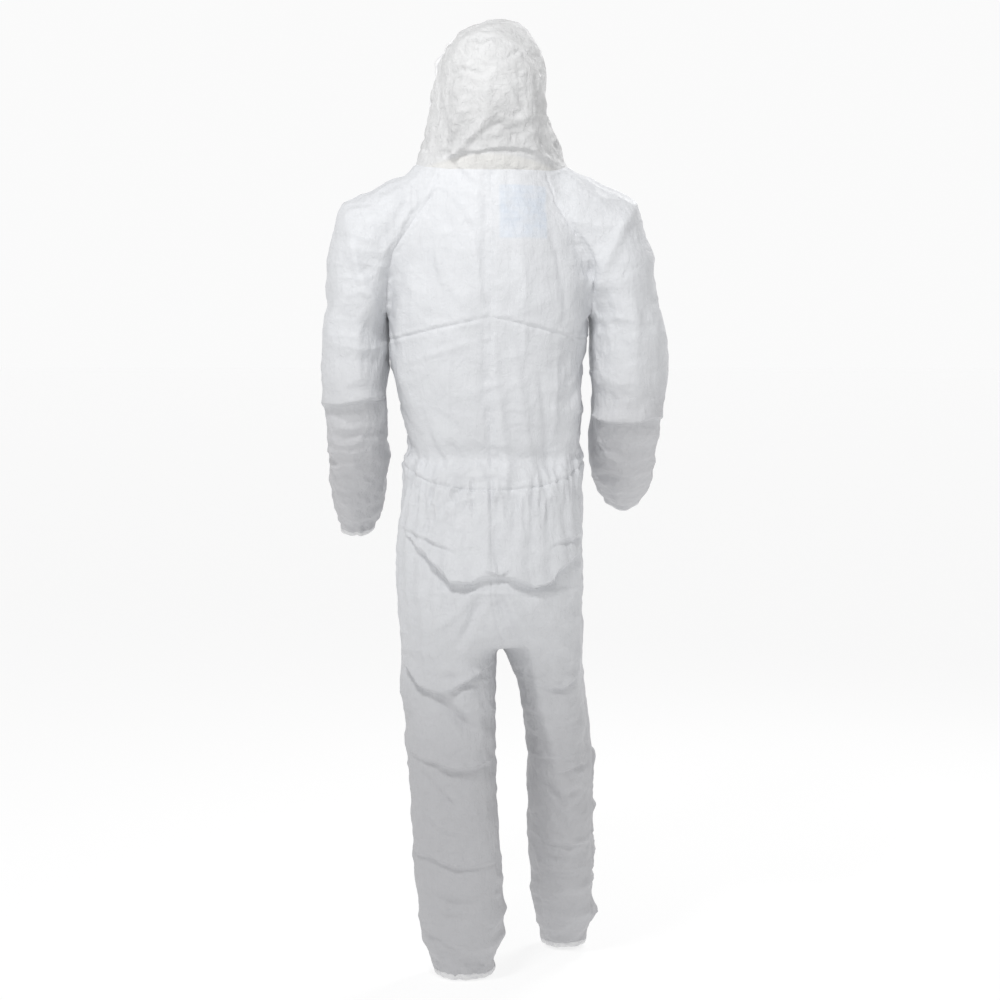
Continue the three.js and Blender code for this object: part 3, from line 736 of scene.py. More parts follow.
def crease_relief(rest, facing, creases):
    """Height that these creases give each point; facing is 1 where the surface faces their way."""
    total = np.zeros(len(rest))
    x, z = rest[:, 0], rest[:, 2]
    for kind, height, width, line in creases:
        height, width = height / 1000, width / 1000
        corners = np.array(line) / 1000
        low, high = corners.min(axis=0) - 3 * width, corners.max(axis=0) + 3 * width
        near = np.nonzero((facing > 0) & (x > low[0]) & (x < high[0]) & (z > low[1]) & (z < high[1]))[0]
        wander = 0.3 * width * noise(rest[near], 0.03, 5)
        away, share = along_line(x[near] + wander, z[near] + wander, corners)
        shape = np.exp(-(away / width) ** 2)
        if kind == "valley":
            shape = 0.35 * np.exp(-(away / width / 1.9) ** 2) - 1.25 * shape
        if kind == "fold":
            over = smoothstep(-0.004, 0.004, away)
            shape = shape * over - 0.75 * np.exp(-(away / width / 0.75) ** 2) * (1 - over)
        ends = np.sqrt(np.clip(np.sin(math.pi * (0.04 + 0.92 * share)), 0, 1))
        total[near] += height * shape * ends * facing[near]
    return total


def streaks(points, mount, across, length, shift):
    """Noise drawn out along a mount's axis, for the gathers that end at an opening."""
    axis = np.array(mount["axis"])
    down = points @ axis
    flat = points - down[:, None] * axis
    return noise(flat + axis * (down * across / length)[:, None], across, shift)


def relief(rest, normal, seam):
    """Height of the fabric over its simulated shape."""
    x, y, z = rest.T
    back = smoothstep(0.0, 0.45, normal[:, 1])
    front = smoothstep(0.0, 0.45, -normal[:, 1])
    creases = crease_relief(rest, back, BACK_CREASES) + crease_relief(rest, front, FRONT_CREASES)
    height = np.clip(1.25 * creases, -0.013, 0.012)

    pucker = noise(rest, 0.011, 1)
    sewn = 1 - 0.75 * smoothstep(-0.01, 0.01, z)
    height += -0.0013 * sewn * np.exp(-(seam / 0.0026) ** 2)
    height += sewn * (0.0005 + 0.0016 * pucker) * np.exp(-((seam - 0.006) / 0.0060) ** 2)

    waist = waist_height(rest)
    trunk = ~is_arm(rest) & (z < 0) & (z > LEG_TOP)
    fan = np.where(waist < 0, bump(0, 0.115, waist), bump(0, 0.060, waist)) * trunk
    height += 0.0052 * fan * (noise(rest, (0.017, 0.017, 0.20), 2)
                              + 0.8 * sharp(rest, (0.015, 0.015, 0.16), 6))
    height += 0.0042 * bump(0, 0.050, waist) * trunk * sharp(rest, (0.011, 0.011, 0.10), 3)
    height += -0.0025 * np.exp(-(waist / 0.006) ** 2) * trunk

    for number, (mount, where) in enumerate((
            (CUFFS["left"], x > ARM_X), (CUFFS["right"], x < -ARM_X), (RIM, z > 0.03))):
        near = where * bump(0, 0.065, beyond(mount, rest))
        height += 0.0024 * near * streaks(rest, mount, 0.008, 0.10, 4 + number)
    height += 0.0026 * bump(0, 0.060, z - HEM_Z) * noise(rest, (0.009, 0.009, 0.12), 8)

    hood = smoothstep(-0.005, 0.03, z)
    leg = 1 - smoothstep(-0.95, -0.80, z)
    sleeve = (np.abs(x) > ARM_X) * 1.0
    lower_sleeve = sleeve * (1 - smoothstep(-0.47, -0.40, z))
    crinkle = 0.00035 + 0.0011 * hood + 0.0004 * leg + 0.0003 * sleeve + 0.0007 * lower_sleeve
    bent = rest + 0.008 * noise(rest, 0.05, 19)[:, None]
    height += crinkle * (sharp(bent, 0.030, 11) + 0.6 * sharp(bent, 0.014, 12))
    height += 0.0020 * hood * (sharp(bent, (0.040, 0.040, 0.065), 20) - 0.3)
    height += 0.0016 * lower_sleeve * noise(rest, (0.06, 0.06, 0.011), 13)
    height += 0.0030 * hood * noise(rest, 0.05, 14)
    height += 0.0018 * noise(rest, (0.09, 0.09, 0.05), 15)
    slack = 0.0014 + 0.0012 * (leg + sleeve)
    folded = rest + 0.012 * noise(rest, 0.08, 18)[:, None]
    height += slack * (sharp(folded, (0.085, 0.085, 0.055), 17)
                       + 0.5 * sharp(folded, (0.040, 0.040, 0.026), 23))
    strip = (np.abs(x) < 0.05) & (y < -0.05) & (z > SLOT_BOTTOM - 0.03) & (z < 0.08)
    flat = np.where(strip, smoothstep(0.026, 0.045, np.maximum(np.abs(x), SLOT_BOTTOM - z + 0.010)), 1)
    return height * flat


# ---- Materials ----
class Shader:
    """A Principled material under construction, whose patterns follow the fabric's own rest coordinates."""

    def __init__(self, name, colour, roughness, on_fabric=True, **settings):
        self.material = bpy.data.materials.new(name)
        self.material.use_nodes = True
        self.tree = self.material.node_tree
        self.principled = self.tree.nodes["Principled BSDF"]
        self.principled.inputs["Base Color"].default_value = (*colour, 1)
        self.principled.inputs["Roughness"].default_value = roughness
        for key, value in settings.items():
            self.principled.inputs[key].default_value = value
        if on_fabric:
            place = self.add("ShaderNodeAttribute", attribute_name="rest")
            self.place = place.outputs["Vector"]
        else:
            self.place = self.add("ShaderNodeTexCoord").outputs["Object"]
        self.colour = colour
        self.tint = None
        self.normal = None

    def add(self, kind, inputs=(), **settings):
        node = self.tree.nodes.new(kind)
        for key, value in settings.items():
            setattr(node, key, value)
        for key, value in dict(inputs).items():
            if isinstance(value, bpy.types.NodeSocket):
                self.tree.links.new(value, node.inputs[key])
            else:
                node.inputs[key].default_value = value
        return node

    def noise(self, scale, detail=2.0, rough=0.5, distortion=0.0, stretch=None):
        place = self.place
        if stretch:
            place = self.add("ShaderNodeMapping", {"Vector": place, "Scale": stretch}).outputs[0]
        return self.add("ShaderNodeTexNoise", {
            "Vector": place, "Scale": scale, "Detail": detail, "Roughness": rough,
            "Distortion": distortion}).outputs[0]

    def cells(self, scale, feature="F1"):
        node = self.add("ShaderNodeTexVoronoi", {"Vector": self.place, "Scale": scale}, feature=feature)
        return node.outputs[0]

    def stripes(self, scale, axis="X", distortion=0.0):
        return self.add("ShaderNodeTexWave", {"Vector": self.place, "Scale": scale, "Distortion": distortion},
                        bands_direction=axis).outputs[1]

    def spread(self, value, low, high, to_low=0.0, to_high=1.0):
        return self.add("ShaderNodeMapRange", {
            "Value": value, "From Min": low, "From Max": high, "To Min": to_low, "To Max": to_high},
            interpolation_type="SMOOTHSTEP").outputs[0]

    def stain(self, amount, colour):
        """The base colour turns towards this one by amount, a socket from 0 to 1."""
        mix = self.add("ShaderNodeMix", data_type="RGBA")
        self.tree.links.new(amount, mix.inputs["Factor"])
        if self.tint:
            self.tree.links.new(self.tint, mix.inputs[6])
        else:
            mix.inputs[6].default_value = (*self.colour, 1)
        mix.inputs[7].default_value = (*colour, 1)
        self.tint = mix.outputs[2]
        self.tree.links.new(self.tint, self.principled.inputs["Base Color"])

    def emboss(self, height, strength, distance):
        """Bump from a height socket, on top of what is there."""
        node = self.add("ShaderNodeBump", {"Height": height, "Strength": strength, "Distance": distance})
        if self.normal:
            self.tree.links.new(self.normal, node.inputs["Normal"])
        self.normal = node.outputs[0]
        self.tree.links.new(self.normal, self.principled.inputs["Normal"])

    def roughen(self, value, low, high):
        self.tree.links.new(self.spread(value, 0.3, 0.7, low, high), self.principled.inputs["Roughness"])


WHITE = (0.665, 0.675, 0.695)
# painted shade: the greys that forearms and legs go over to lower down, standing for the light that falls off
# there
FOREARM_PAINTED_SHADE = (0.52, 0.52, 0.535)
LEG_PAINTED_SHADE = (0.46, 0.46, 0.475)


def nonwoven(name, colour=WHITE, crinkle=0.5, shade=0.95, rough=0.62, greyer=None):
    """Thin film-faced nonwoven: a fine thermal bond pattern, drawn fibres and hard little crinkles. Between
    the two heights in greyer it goes over to the colour given there, a painted shade that darkens the fabric
    lower down where less light falls."""
    s = Shader(name, colour, rough, **{"Sheen Weight": 0.06})
    dimmer = tuple(c * shade for c in colour)
    fibres = s.noise(420, 4, 0.65, 1.6)
    clouds = s.noise(14, 3, 0.6)
    s.stain(s.spread(clouds, 0.35, 0.72), dimmer)
    s.stain(s.spread(fibres, 0.55, 0.80, 0, 0.25), tuple(c * 0.88 for c in colour))
    # painted shade: below the first height the base colour darkens towards the given grey, for the light that
    # falls off lower down
    if greyer:
        start, full, painted_grey = greyer
        height = s.add("ShaderNodeSeparateXYZ", {"Vector": s.place}).outputs[2]
        s.stain(s.spread(height, start, full, 0, 0.9), painted_grey)
    s.emboss(s.cells(620), 0.25, 0.0004)
    s.emboss(fibres, 0.20, 0.0003)
    s.emboss(s.noise(70, 4, 0.60, 1.0), 0.5 * crinkle + 0.25, 0.0045)
    s.emboss(s.cells(48, "F2"), 0.5 * crinkle, 0.0025)
    s.emboss(s.noise(30, 3, 0.55, 0.6, (2.6, 2.6, 0.5)), 0.5, 0.0040)
    s.roughen(clouds, rough - 0.06, rough + 0.10)
    return s


def label_show_through(s, low, high):
    """A soft bluish patch where the label inside shows through the fabric."""
    axes = s.add("ShaderNodeSeparateXYZ", {"Vector": s.place}).outputs
    amount = None
    for k in (0, 2):
        soft = 0.003
        for inside in (s.spread(axes[k], low[k] - soft, low[k] + soft),
                       s.spread(axes[k], high[k] + soft, high[k] - soft)):
            if amount is None:
                amount = inside
            else:
                amount = s.add("ShaderNodeMath", {0: amount, 1: inside}, operation="MULTIPLY").outputs[0]
    patch = s.spread(s.noise(45, 2), 0.30, 0.70, 0.20, 0.42)
    amount = s.add("ShaderNodeMath", {0: amount, 1: patch}, operation="MULTIPLY").outputs[0]
    s.stain(amount, (0.55, 0.63, 0.74))
    lines = s.spread(s.stripes(26, "Z", 2.0), 0.60, 0.95, 0, 0.20)
    lines = s.add("ShaderNodeMath", {0: amount, 1: lines}, operation="MULTIPLY").outputs[0]
    s.stain(lines, (0.40, 0.48, 0.62))


def hood_over_collar(s, colour):
    """The hood's own greyer shade comes down over the collar at the sides, in an arc."""
    axes = s.add("ShaderNodeSeparateXYZ", {"Vector": s.place}).outputs
    square = s.add("ShaderNodeMath", {0: axes[0], 1: axes[0]}, operation="MULTIPLY").outputs[0]
    arc = s.add("ShaderNodeMath", {0: square, 1: 2.0, 2: axes[2]}, operation="MULTIPLY_ADD").outputs[0]
    s.stain(s.spread(arc, 0.024, 0.032), colour)


def make_materials():
    out = {"trunk": nonwoven("coverall_nonwoven", crinkle=0.35)}
    low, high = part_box("neck_label")
    out["labelled"] = nonwoven("coverall_nonwoven_over_label", crinkle=0.35)
    label_show_through(out["labelled"], low, high)
    # the leg material, also on seat and hips, and the sleeve material darken lower down with painted shade
    out["leg"] = nonwoven("leg_nonwoven", crinkle=0.5, greyer=(-0.70, -1.15, LEG_PAINTED_SHADE))
    out["sleeve"] = nonwoven("sleeve_nonwoven", crinkle=0.5, greyer=(-0.28, -0.54, FOREARM_PAINTED_SHADE))
    out["hood"] = nonwoven("hood_nonwoven", (0.62, 0.622, 0.625), crinkle=1.0, shade=0.92)
    out["collar"] = nonwoven("collar_nonwoven", (0.67, 0.665, 0.65), crinkle=0.8)
    hood_over_collar(out["collar"], (0.62, 0.622, 0.625))
    elastic = Shader("covered_elastic", (0.74, 0.74, 0.745), 0.7, **{"Sheen Weight": 0.15})
    elastic.emboss(elastic.noise(900, 2, 0.5), 0.25, 0.0003)
    elastic.emboss(elastic.noise(160, 3, 0.6, 0.6), 0.5, 0.0012)
    elastic.stain(elastic.spread(elastic.noise(120, 2), 0.4, 0.75), (0.62, 0.62, 0.64))
    out["elastic"] = elastic
    tape = Shader("zip_tape_weave", (0.82, 0.82, 0.83), 0.85, on_fabric=False, **{"Sheen Weight": 0.2})
    tape.emboss(tape.stripes(420, "Z"), 0.5, 0.0003)
    tape.emboss(tape.stripes(520, "X"), 0.4, 0.0002)
    tape.stain(tape.spread(tape.noise(60, 2), 0.45, 0.8, 0, 0.6), (0.72, 0.72, 0.74))
    out["tape"] = tape
    plastic = Shader("moulded_white_plastic", (0.83, 0.83, 0.82), 0.36, on_fabric=False,
                     **{"Coat Weight": 0.1})
    plastic.emboss(plastic.noise(380, 3), 0.12, 0.0002)
    plastic.stain(plastic.spread(plastic.noise(90, 3), 0.45, 0.75, 0, 0.5), (0.74, 0.74, 0.72))
    plastic.roughen(plastic.noise(220, 3), 0.30, 0.46)
    out["plastic"] = plastic
    glue = Shader("adhesive_tape", (0.80, 0.78, 0.72), 0.42, **{"Coat Weight": 0.25})
    glue.emboss(glue.noise(260, 3, 0.6, 0.8), 0.3, 0.0003)
    glue.stain(glue.spread(glue.noise(70, 3), 0.4, 0.7), (0.72, 0.70, 0.64))
    out["adhesive"] = glue
    liner = Shader("release_liner_paper", (0.86, 0.85, 0.80), 0.30, **{"Coat Weight": 0.5})
    liner.emboss(liner.noise(420, 4, 0.7), 0.10, 0.0002)
    liner.stain(liner.spread(liner.noise(120, 4), 0.45, 0.8), (0.80, 0.79, 0.73))
    out["liner"] = liner
    label = Shader("satin_label", (0.78, 0.82, 0.88), 0.45, **{"Sheen Weight": 0.4})
    label.emboss(label.stripes(600, "Z"), 0.3, 0.0002)
    label.stain(label.spread(label.noise(180, 2), 0.4, 0.8), (0.70, 0.75, 0.83))
    out["label"] = label
    return {key: s.material for key, s in out.items()}


# ---- Pieces ----
def fabric_object(name, points, quads, rest, normals, material):
    """A piece of fabric with the skin's own normals, so that pieces meet without a visible step."""
    used, quads = renumbered(len(points), quads)
    mesh = bpy.data.meshes.new(name)
    mesh.vertices.add(len(used))
    mesh.vertices.foreach_set("co", points[used].astype(np.float32).ravel())
    mesh.loops.add(quads.size)
    mesh.loops.foreach_set("vertex_index", quads.astype(np.int32).ravel())
    mesh.polygons.add(len(quads))
    mesh.polygons.foreach_set("loop_start", np.arange(0, quads.size, 4, dtype=np.int32))
    mesh.update(calc_edges=True)
    mesh.attributes.new("rest", "FLOAT_VECTOR", "POINT").data.foreach_set(
        "vector", rest[used].astype(np.float32).ravel())
    mesh.shade_smooth()
    if normals is not None:
        mesh.normals_split_custom_set_from_vertices(normals[used].tolist())
    mesh.materials.append(material)
    obj = bpy.data.objects.new(name, mesh)
    bpy.context.scene.collection.objects.link(obj)
    return obj


def area_of(points, quads):
    a, b, c, d = (points[quads[:, k]] for k in range(4))
    return float(np.linalg.norm(np.cross(c - a, d - b), axis=1).sum() / 2)


def declare_sheet(obj, cut_points, quads, held, fill=0.85, **more):
    """The sheet's cut area and the length that the panel spans are worked out, but nothing is kept or set."""
    area = area_of(cut_points, quads)
    used = cut_points[np.unique(quads)]
    span = used.max(axis=0) - used.min(axis=0)
    length = float(max(span[2], 0.012))


MATERIAL_OF = {
    "front_panel_fabric": "trunk", "upper_back_fabric": "trunk", "lower_back_fabric": "trunk",
    "seat_fabric": "leg", "hip_front_fabric": "leg", "upper_sleeve_fabric": "sleeve",
    "lower_sleeve_fabric": "sleeve", "upper_leg_fabric": "leg", "lower_leg_fabric": "leg",
    "hood_side_fabric": "hood"}
NODES_OF = {
    "front_panel_fabric": ["front_panel"], "upper_back_fabric": ["upper_back_panel"],
    "lower_back_fabric": ["lower_back_panel"], "seat_fabric": ["seat_panel"],
    "hip_front_fabric": ["hip_front_panel"],
    "upper_sleeve_fabric": ["sleeve_head", "sleeve_shoulder_fold", "sleeve_upper_arm"],
    "lower_sleeve_fabric": ["sleeve_elbow_fold", "sleeve_forearm"],
    "upper_leg_fabric": ["leg_hip_fold", "leg_thigh"], "lower_leg_fabric": ["leg_knee_fold", "leg_shin"]}
HOOD_TURNS = ("suit", "hood", (0, 0.100, 0), (0, 0.123, 0.0764))
BENDS = {
    "left_upper_sleeve": ("suit", "left_upper_arm", (0.187, 0, -0.228), (0.247, 0, -0.273)),
    "right_upper_sleeve": ("suit", "right_upper_arm", (-0.187, 0, -0.228), (-0.242, 0, -0.270)),
    "left_lower_sleeve": ("left_upper_arm", "left_forearm", (0.253, 0, -0.362), (0.253, 0, -0.475)),
    "right_lower_sleeve": ("right_upper_arm", "right_forearm", (-0.250, 0, -0.362), (-0.250, 0, -0.475)),
    "left_upper_leg": ("suit", "left_thigh", (0.079, 0, LEG_TOP), (0.079, 0, -0.934)),
    "right_upper_leg": ("suit", "right_thigh", (-0.100, 0, LEG_TOP), (-0.100, 0, -0.934)),
    "left_lower_leg": ("left_thigh", "left_shin", (0.072, 0, -1.020), (0.072, 0, -1.120)),
    "right_lower_leg": ("right_thigh", "right_shin", (-0.124, 0, -1.020), (-0.124, 0, -1.120)),
}


def make_fabric(points, rest, quads, panel, normals, cut_points, materials):
    for number, name in enumerate(PANELS):
        mine = quads[panel == number]
        side, _, kind = name.partition("_")
        key = MATERIAL_OF.get(kind, "hood" if "hood" in name else "collar")
        if name == "right_upper_back_fabric":
            key = "labelled"
        obj = fabric_object(name, points, mine, rest, normals, materials[key])
        declare_sheet(obj, cut_points, mine, "hung")
        if name == "hood_crown_fabric":
            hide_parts("hood_crown_panel", "hood_neck_fold")
        elif name == "collar_fabric_band":
            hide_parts("collar_band")
        elif kind == "hood_side_fabric":
            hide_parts(f"hood_{side}_panel")
        else:
            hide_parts(*(f"{side}_{node}" for node in NODES_OF[kind]))
        {"hood": "hood_fabric", "collar": "collar_fabric"}.get(key, "suit_fabric")
        bend = BENDS.get(name.replace("_fabric", ""), HOOD_TURNS if key in ("hood", "collar") else None)
        if bend:
            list(bend)
            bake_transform(obj)
        else:
            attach(obj, "suit")


# ---- Casings: the fabric's edges rolled over the elastics ----
def edge_loops(quads):
    """The skin's open edges as closed loops of point numbers, each in order."""
    pairs = sides_of(quads)
    keys = np.sort(pairs, axis=1)
    order = np.lexsort((keys[:, 1], keys[:, 0]))
    keys, pairs = keys[order], pairs[order]
    same = np.all(keys[1:] == keys[:-1], axis=1)
    alone = ~(np.concatenate([[False], same]) | np.concatenate([same, [False]]))
    following = {int(a): int(b) for a, b in pairs[alone]}
    loops = []
    while following:
        start, at = next(iter(following.items()))
        loop = [start]
        del following[start]
        while at != start and at in following:
            loop.append(at)
            at = following.pop(at)
        if len(loop) > 12:
            loops.append(np.array(loop))
    return loops


def evenly(points, step, closed):
    """The line redrawn with even steps."""
    line = np.concatenate([points, points[:1]]) if closed else points
    lengths = np.concatenate([[0], np.cumsum(np.linalg.norm(np.diff(line, axis=0), axis=1))])
    count = max(int(lengths[-1] / step), 8)
    at = np.linspace(0, lengths[-1], count, endpoint=not closed)
    return np.stack([np.interp(at, lengths, line[:, k]) for k in range(3)], axis=1)


def smooth_line(line, times, closed):
    for _ in range(times):
        middle = (np.roll(line, 1, axis=0) + np.roll(line, -1, axis=0)) / 2
        if not closed:
            middle[0], middle[-1] = line[0], line[-1]
        line = (line + middle) / 2
    return line


# across the casing, in mm: out from the fabric, and past its edge
CASING = [(0.1, -4.0), (1.0, -2.0), (1.7, 0.5), (2.0, 3.5), (1.7, 6.0), (0.7, 7.8), (-0.8, 8.2), (-2.2, 7.2),
          (-2.9, 4.5), (-2.8, 0.5), (-2.2, -3.0), (-1.0, -4.2)]
FOLDED_EDGE = [(0.2, -5.0), (0.5, -2.0), (0.5, -0.2), (-0.2, 0.15), (-0.9, -0.2), (-0.9, -2.0), (-0.6, -5.0)]


GATHER = 1.35             # the casing's own length over that of the edge it is gathered along


def roll(name, line, normal, away, closed, profile, gather, material):
    """A strip rolled along a line, with the fabric's normal and the way past its edge at each point."""
    count = len(line)
    rings = []
    along = np.stack([np.arange(count) * 0.002, np.zeros(count), np.zeros(count)], axis=1)
    wave = noise(along, 0.0045, 21)
    wide = noise(along, 0.013, 22)
    for out, past in profile:
        lift = gather * (0.9 * wave + 0.7 * wide) * (1 if out > 0 else 0.3)
        shift = gather * 0.5 * wide * (1 if past > 2 else 0)
        rings.append(line + normal * (out / 1000 + lift)[:, None] + away * (past / 1000 + shift)[:, None])
    points = np.stack(rings, axis=1).reshape(-1, 3)
    step = len(profile)
    quads = []
    for i in range(count if closed else count - 1):
        j = (i + 1) % count
        quads += [(i * step + k, j * step + k, j * step + (k + 1) % step, i * step + (k + 1) % step)
                  for k in range(step)]
    quads = np.array(quads)
    middle = np.repeat(line, step, axis=0)
    facing = np.sign(((points - middle) * point_normals(points, quads)).sum())
    if facing < 0:
        quads = quads[:, ::-1]
    return fabric_object(name, points, quads, points, None, material), points, quads


def unit(vectors):
    return vectors / np.linalg.norm(vectors, axis=1)[:, None]


def edge_frame(line, normal, inward, closed):
    """The edge redrawn evenly, with the fabric's normal and the way past its edge at each point."""
    even = smooth_line(evenly(line, 0.002, closed), 4, closed)
    nearest = np.linalg.norm(even[:, None, :] - line[None, :, :], axis=2).argmin(axis=1)
    n = smooth_line(normal[nearest], 6, closed)
    tangent = np.roll(even, -1, axis=0) - np.roll(even, 1, axis=0)
    if not closed:
        tangent[0], tangent[-1] = even[1] - even[0], even[-1] - even[-2]
    away = np.cross(n, tangent)
    away *= np.sign((away * -inward[nearest]).sum())
    away = unit(smooth_line(unit(away), 6, closed))
    n -= (n * away).sum(axis=1)[:, None] * away
    return even, unit(n), away


def face_runs(line, normal, inward, at_rest):
    """The face opening's edge, which ends at the zip's slot, and the slot's two sides, as open runs."""
    slot = (np.abs(at_rest[:, 0]) < SLOT_HALF + 0.002) & (at_rest[:, 2] < SILL_Z - 0.006)
    start = int(np.nonzero(~slot & np.roll(slot, 1))[0][0])
    line, normal, inward, slot = (np.roll(v, -start, axis=0) for v in (line, normal, inward, slot))
    cut = int(np.nonzero(slot)[0][0])
    yield "face", line[:cut], normal[:cut], inward[:cut]
    for side, sign in SIDES.items():
        mine = slot & (sign * line[:, 0] > SLOT_HALF * 0.8)
        yield f"{side}_slot", line[mine], normal[mine], inward[mine]


def make_folded_edge(name, frame_at, material):
    obj, own, faces = roll(f"{name}_folded_edge", *frame_at, False, FOLDED_EDGE, 0.0, material)
    area_of(own, faces) / 2
    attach(obj, "suit")


def make_casing(name, frame_at, closed, material, body):
    """A rolled casing over an elastic, which rides on a body or, round the face, stays where it is drawn."""
    obj, own, faces = roll(f"{name}_elastic_casing", *frame_at, closed, CASING, 0.0009, material)
    length = float(np.linalg.norm(np.diff(frame_at[0], axis=0), axis=1).sum()) * GATHER
    area = area_of(own, faces) / 2
    if body:
        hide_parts(f"{name}_elastic")
        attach(obj, body)
    else:
        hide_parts("hood_face_elastic")
        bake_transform(obj)


def make_casings(points, rest, quads, normals, materials):
    centre = points[quads].mean(axis=1)
    inward = np.zeros_like(points)
    for k in range(4):
        for axis in range(3):
            towards = centre[:, axis] - points[quads[:, k], axis]
            inward[:, axis] += np.bincount(quads[:, k], towards, len(points))
    for loop in edge_loops(quads):
        at = rest[loop].mean(axis=0)
        side = "left" if at[0] > 0 else "right"
        here = points[loop], normals[loop], inward[loop]
        if at[2] < -1.2:
            make_casing(f"{side}_ankle", edge_frame(*here, True), True, materials["elastic"], f"{side}_shin")
        elif abs(at[0]) > ARM_X:
            make_casing(f"{side}_wrist", edge_frame(*here, True), True, materials["elastic"],
                        f"{side}_forearm")
        else:
            for name, *run in face_runs(*here, rest[loop]):
                if name == "face":
                    make_casing(name, edge_frame(*run, False), False, materials["elastic"], None)
                else:
                    make_folded_edge(name, edge_frame(*run, False), materials["trunk"])


def make_waist_elastic(points, rest, quads, panel, normals, materials):
    """The elastic glued inside the fabric round the waist."""
    waist = np.abs(waist_height(rest[quads].mean(axis=1)))
    trunk = np.array(["panel" in PANELS[p] or "back" in PANELS[p] or "seat" in PANELS[p] or "hip" in PANELS[p]
                      for p in range(len(PANELS))])
    mine = quads[(waist < 0.008) & trunk[panel]]
    obj = fabric_object("waist_elastic_tape", points - 0.0016 * normals, mine, rest, normals,
                        materials["elastic"])
    declare_sheet(obj, grown(points), mine, "gathered")
    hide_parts("waist_elastic")
    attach(obj, "suit")


def make_label(points, rest, quads, panel, normals, materials):
    """The size label, sewn inside the right upper back."""
    low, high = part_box("neck_label")
    centre = rest[quads].mean(axis=1)
    mine = quads[(panel == PANELS.index("right_upper_back_fabric")) & (centre[:, 0] > low.x) & (
        centre[:, 0] < high.x) & (centre[:, 2] > low.z) & (centre[:, 2] < high.z)]
    obj = fabric_object("neck_size_label", points - 0.0024 * normals, mine, rest, normals, materials["label"])
    declare_sheet(obj, points, mine, "hung", fill=0.9)
    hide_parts("neck_label")
    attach(obj, "suit")


# ---- The front: zip, storm flap and its adhesive ----
ZIP_AT = np.array([0, -0.111, 0.016])
ZIP_DOWN = np.array([0, -0.054944, -0.998489])
ZIP_OUT = np.array([0, -0.998489, 0.054944])
ZIP_ACROSS = np.array([1.0, 0, 0])


def zip_box(node):
    """Low and high of a CAD node across, along and out from the zip."""
    p = coordinates(frame["nodes"][node].data) - ZIP_AT
    p = np.stack([p @ ZIP_ACROSS, p @ ZIP_DOWN, p @ ZIP_OUT], axis=1)
    return p.min(axis=0), p.max(axis=0)


def strip(name, node, slot, material, body, held=None, sway=0.0, hem=0.0, step=0.003, with_pieces=()):
    """A thin strip of fabric or film in the place of a CAD node, soft at its edges and sewn along its hem."""
    low, high = zip_box(node)
    thick = min(high[2] - low[2], 0.0012)
    middle = (low[2] + high[2]) / 2
    across = np.linspace(low[0], high[0], max(int((high[0] - low[0]) / step), 5) + 1)
    down = np.linspace(low[1], high[1], int((high[1] - low[1]) / step) + 1)
    u, v = np.meshgrid(across, down, indexing="ij")
    u, v = u.ravel(), v.ravel()
    edge = np.minimum.reduce([u - low[0], high[0] - u, v - low[1], high[1] - v])
    flat = np.stack([u, v, np.zeros_like(u)], axis=1)
    wave = sway * (0.6 * noise(flat, (0.05, 0.09, 1), 31) + 0.4 * noise(flat, (0.02, 0.028, 1), 32))
    wave += 0.25 * sway * sharp(flat, (0.012, 0.012, 1), 33)
    seam = -0.00025 * np.exp(-((edge - hem) / 0.0011) ** 2) if hem else 0.0
    half = thick / 2 * (1 - 0.75 * np.exp(-edge / 0.0008)) + seam
    room = (high[2] - low[2]) / 2 - thick / 2
    wave = np.clip(wave, -room, room)
    place = ZIP_AT + u[:, None] * ZIP_ACROSS + v[:, None] * ZIP_DOWN
    points = np.concatenate([place + (middle + wave + sign * half)[:, None] * ZIP_OUT for sign in (1, -1)])
    rows, columns = len(across), len(down)
    grid = np.arange(rows * columns).reshape(rows, columns)
    a, b, c, d = grid[:-1, :-1], grid[1:, :-1], grid[1:, 1:], grid[:-1, 1:]
    top = np.stack([a.ravel(), b.ravel(), c.ravel(), d.ravel()], axis=1)
    rim = np.concatenate([grid[:-1, 0], grid[-1, :-1], grid[:0:-1, -1], grid[0, :0:-1]])
    ahead = np.roll(rim, -1)
    side = np.stack([rim, rim + rows * columns, ahead + rows * columns, ahead], axis=1)
    quads = np.concatenate([top, top[:, ::-1] + rows * columns, side])
    obj = fabric_object(name, points, quads, points, None, material)
    face_outwards(obj)
    if held:
        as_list(with_pieces)
    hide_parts(node)
    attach(obj, body)
    return obj


TOOTH_PITCH = 0.0026
# share of the reach, half thickness in mm
TOOTH = [(0.0, 0.55), (0.10, 0.62), (0.32, 0.46), (0.45, 0.50), (1.0, 0.46)]
TOOTH_ROUND = ((-1, -0.6), (-1, 0.6), (-0.6, 1), (0.6, 1), (1, 0.6), (1, -0.6), (0.6, -1), (-0.6, -1))


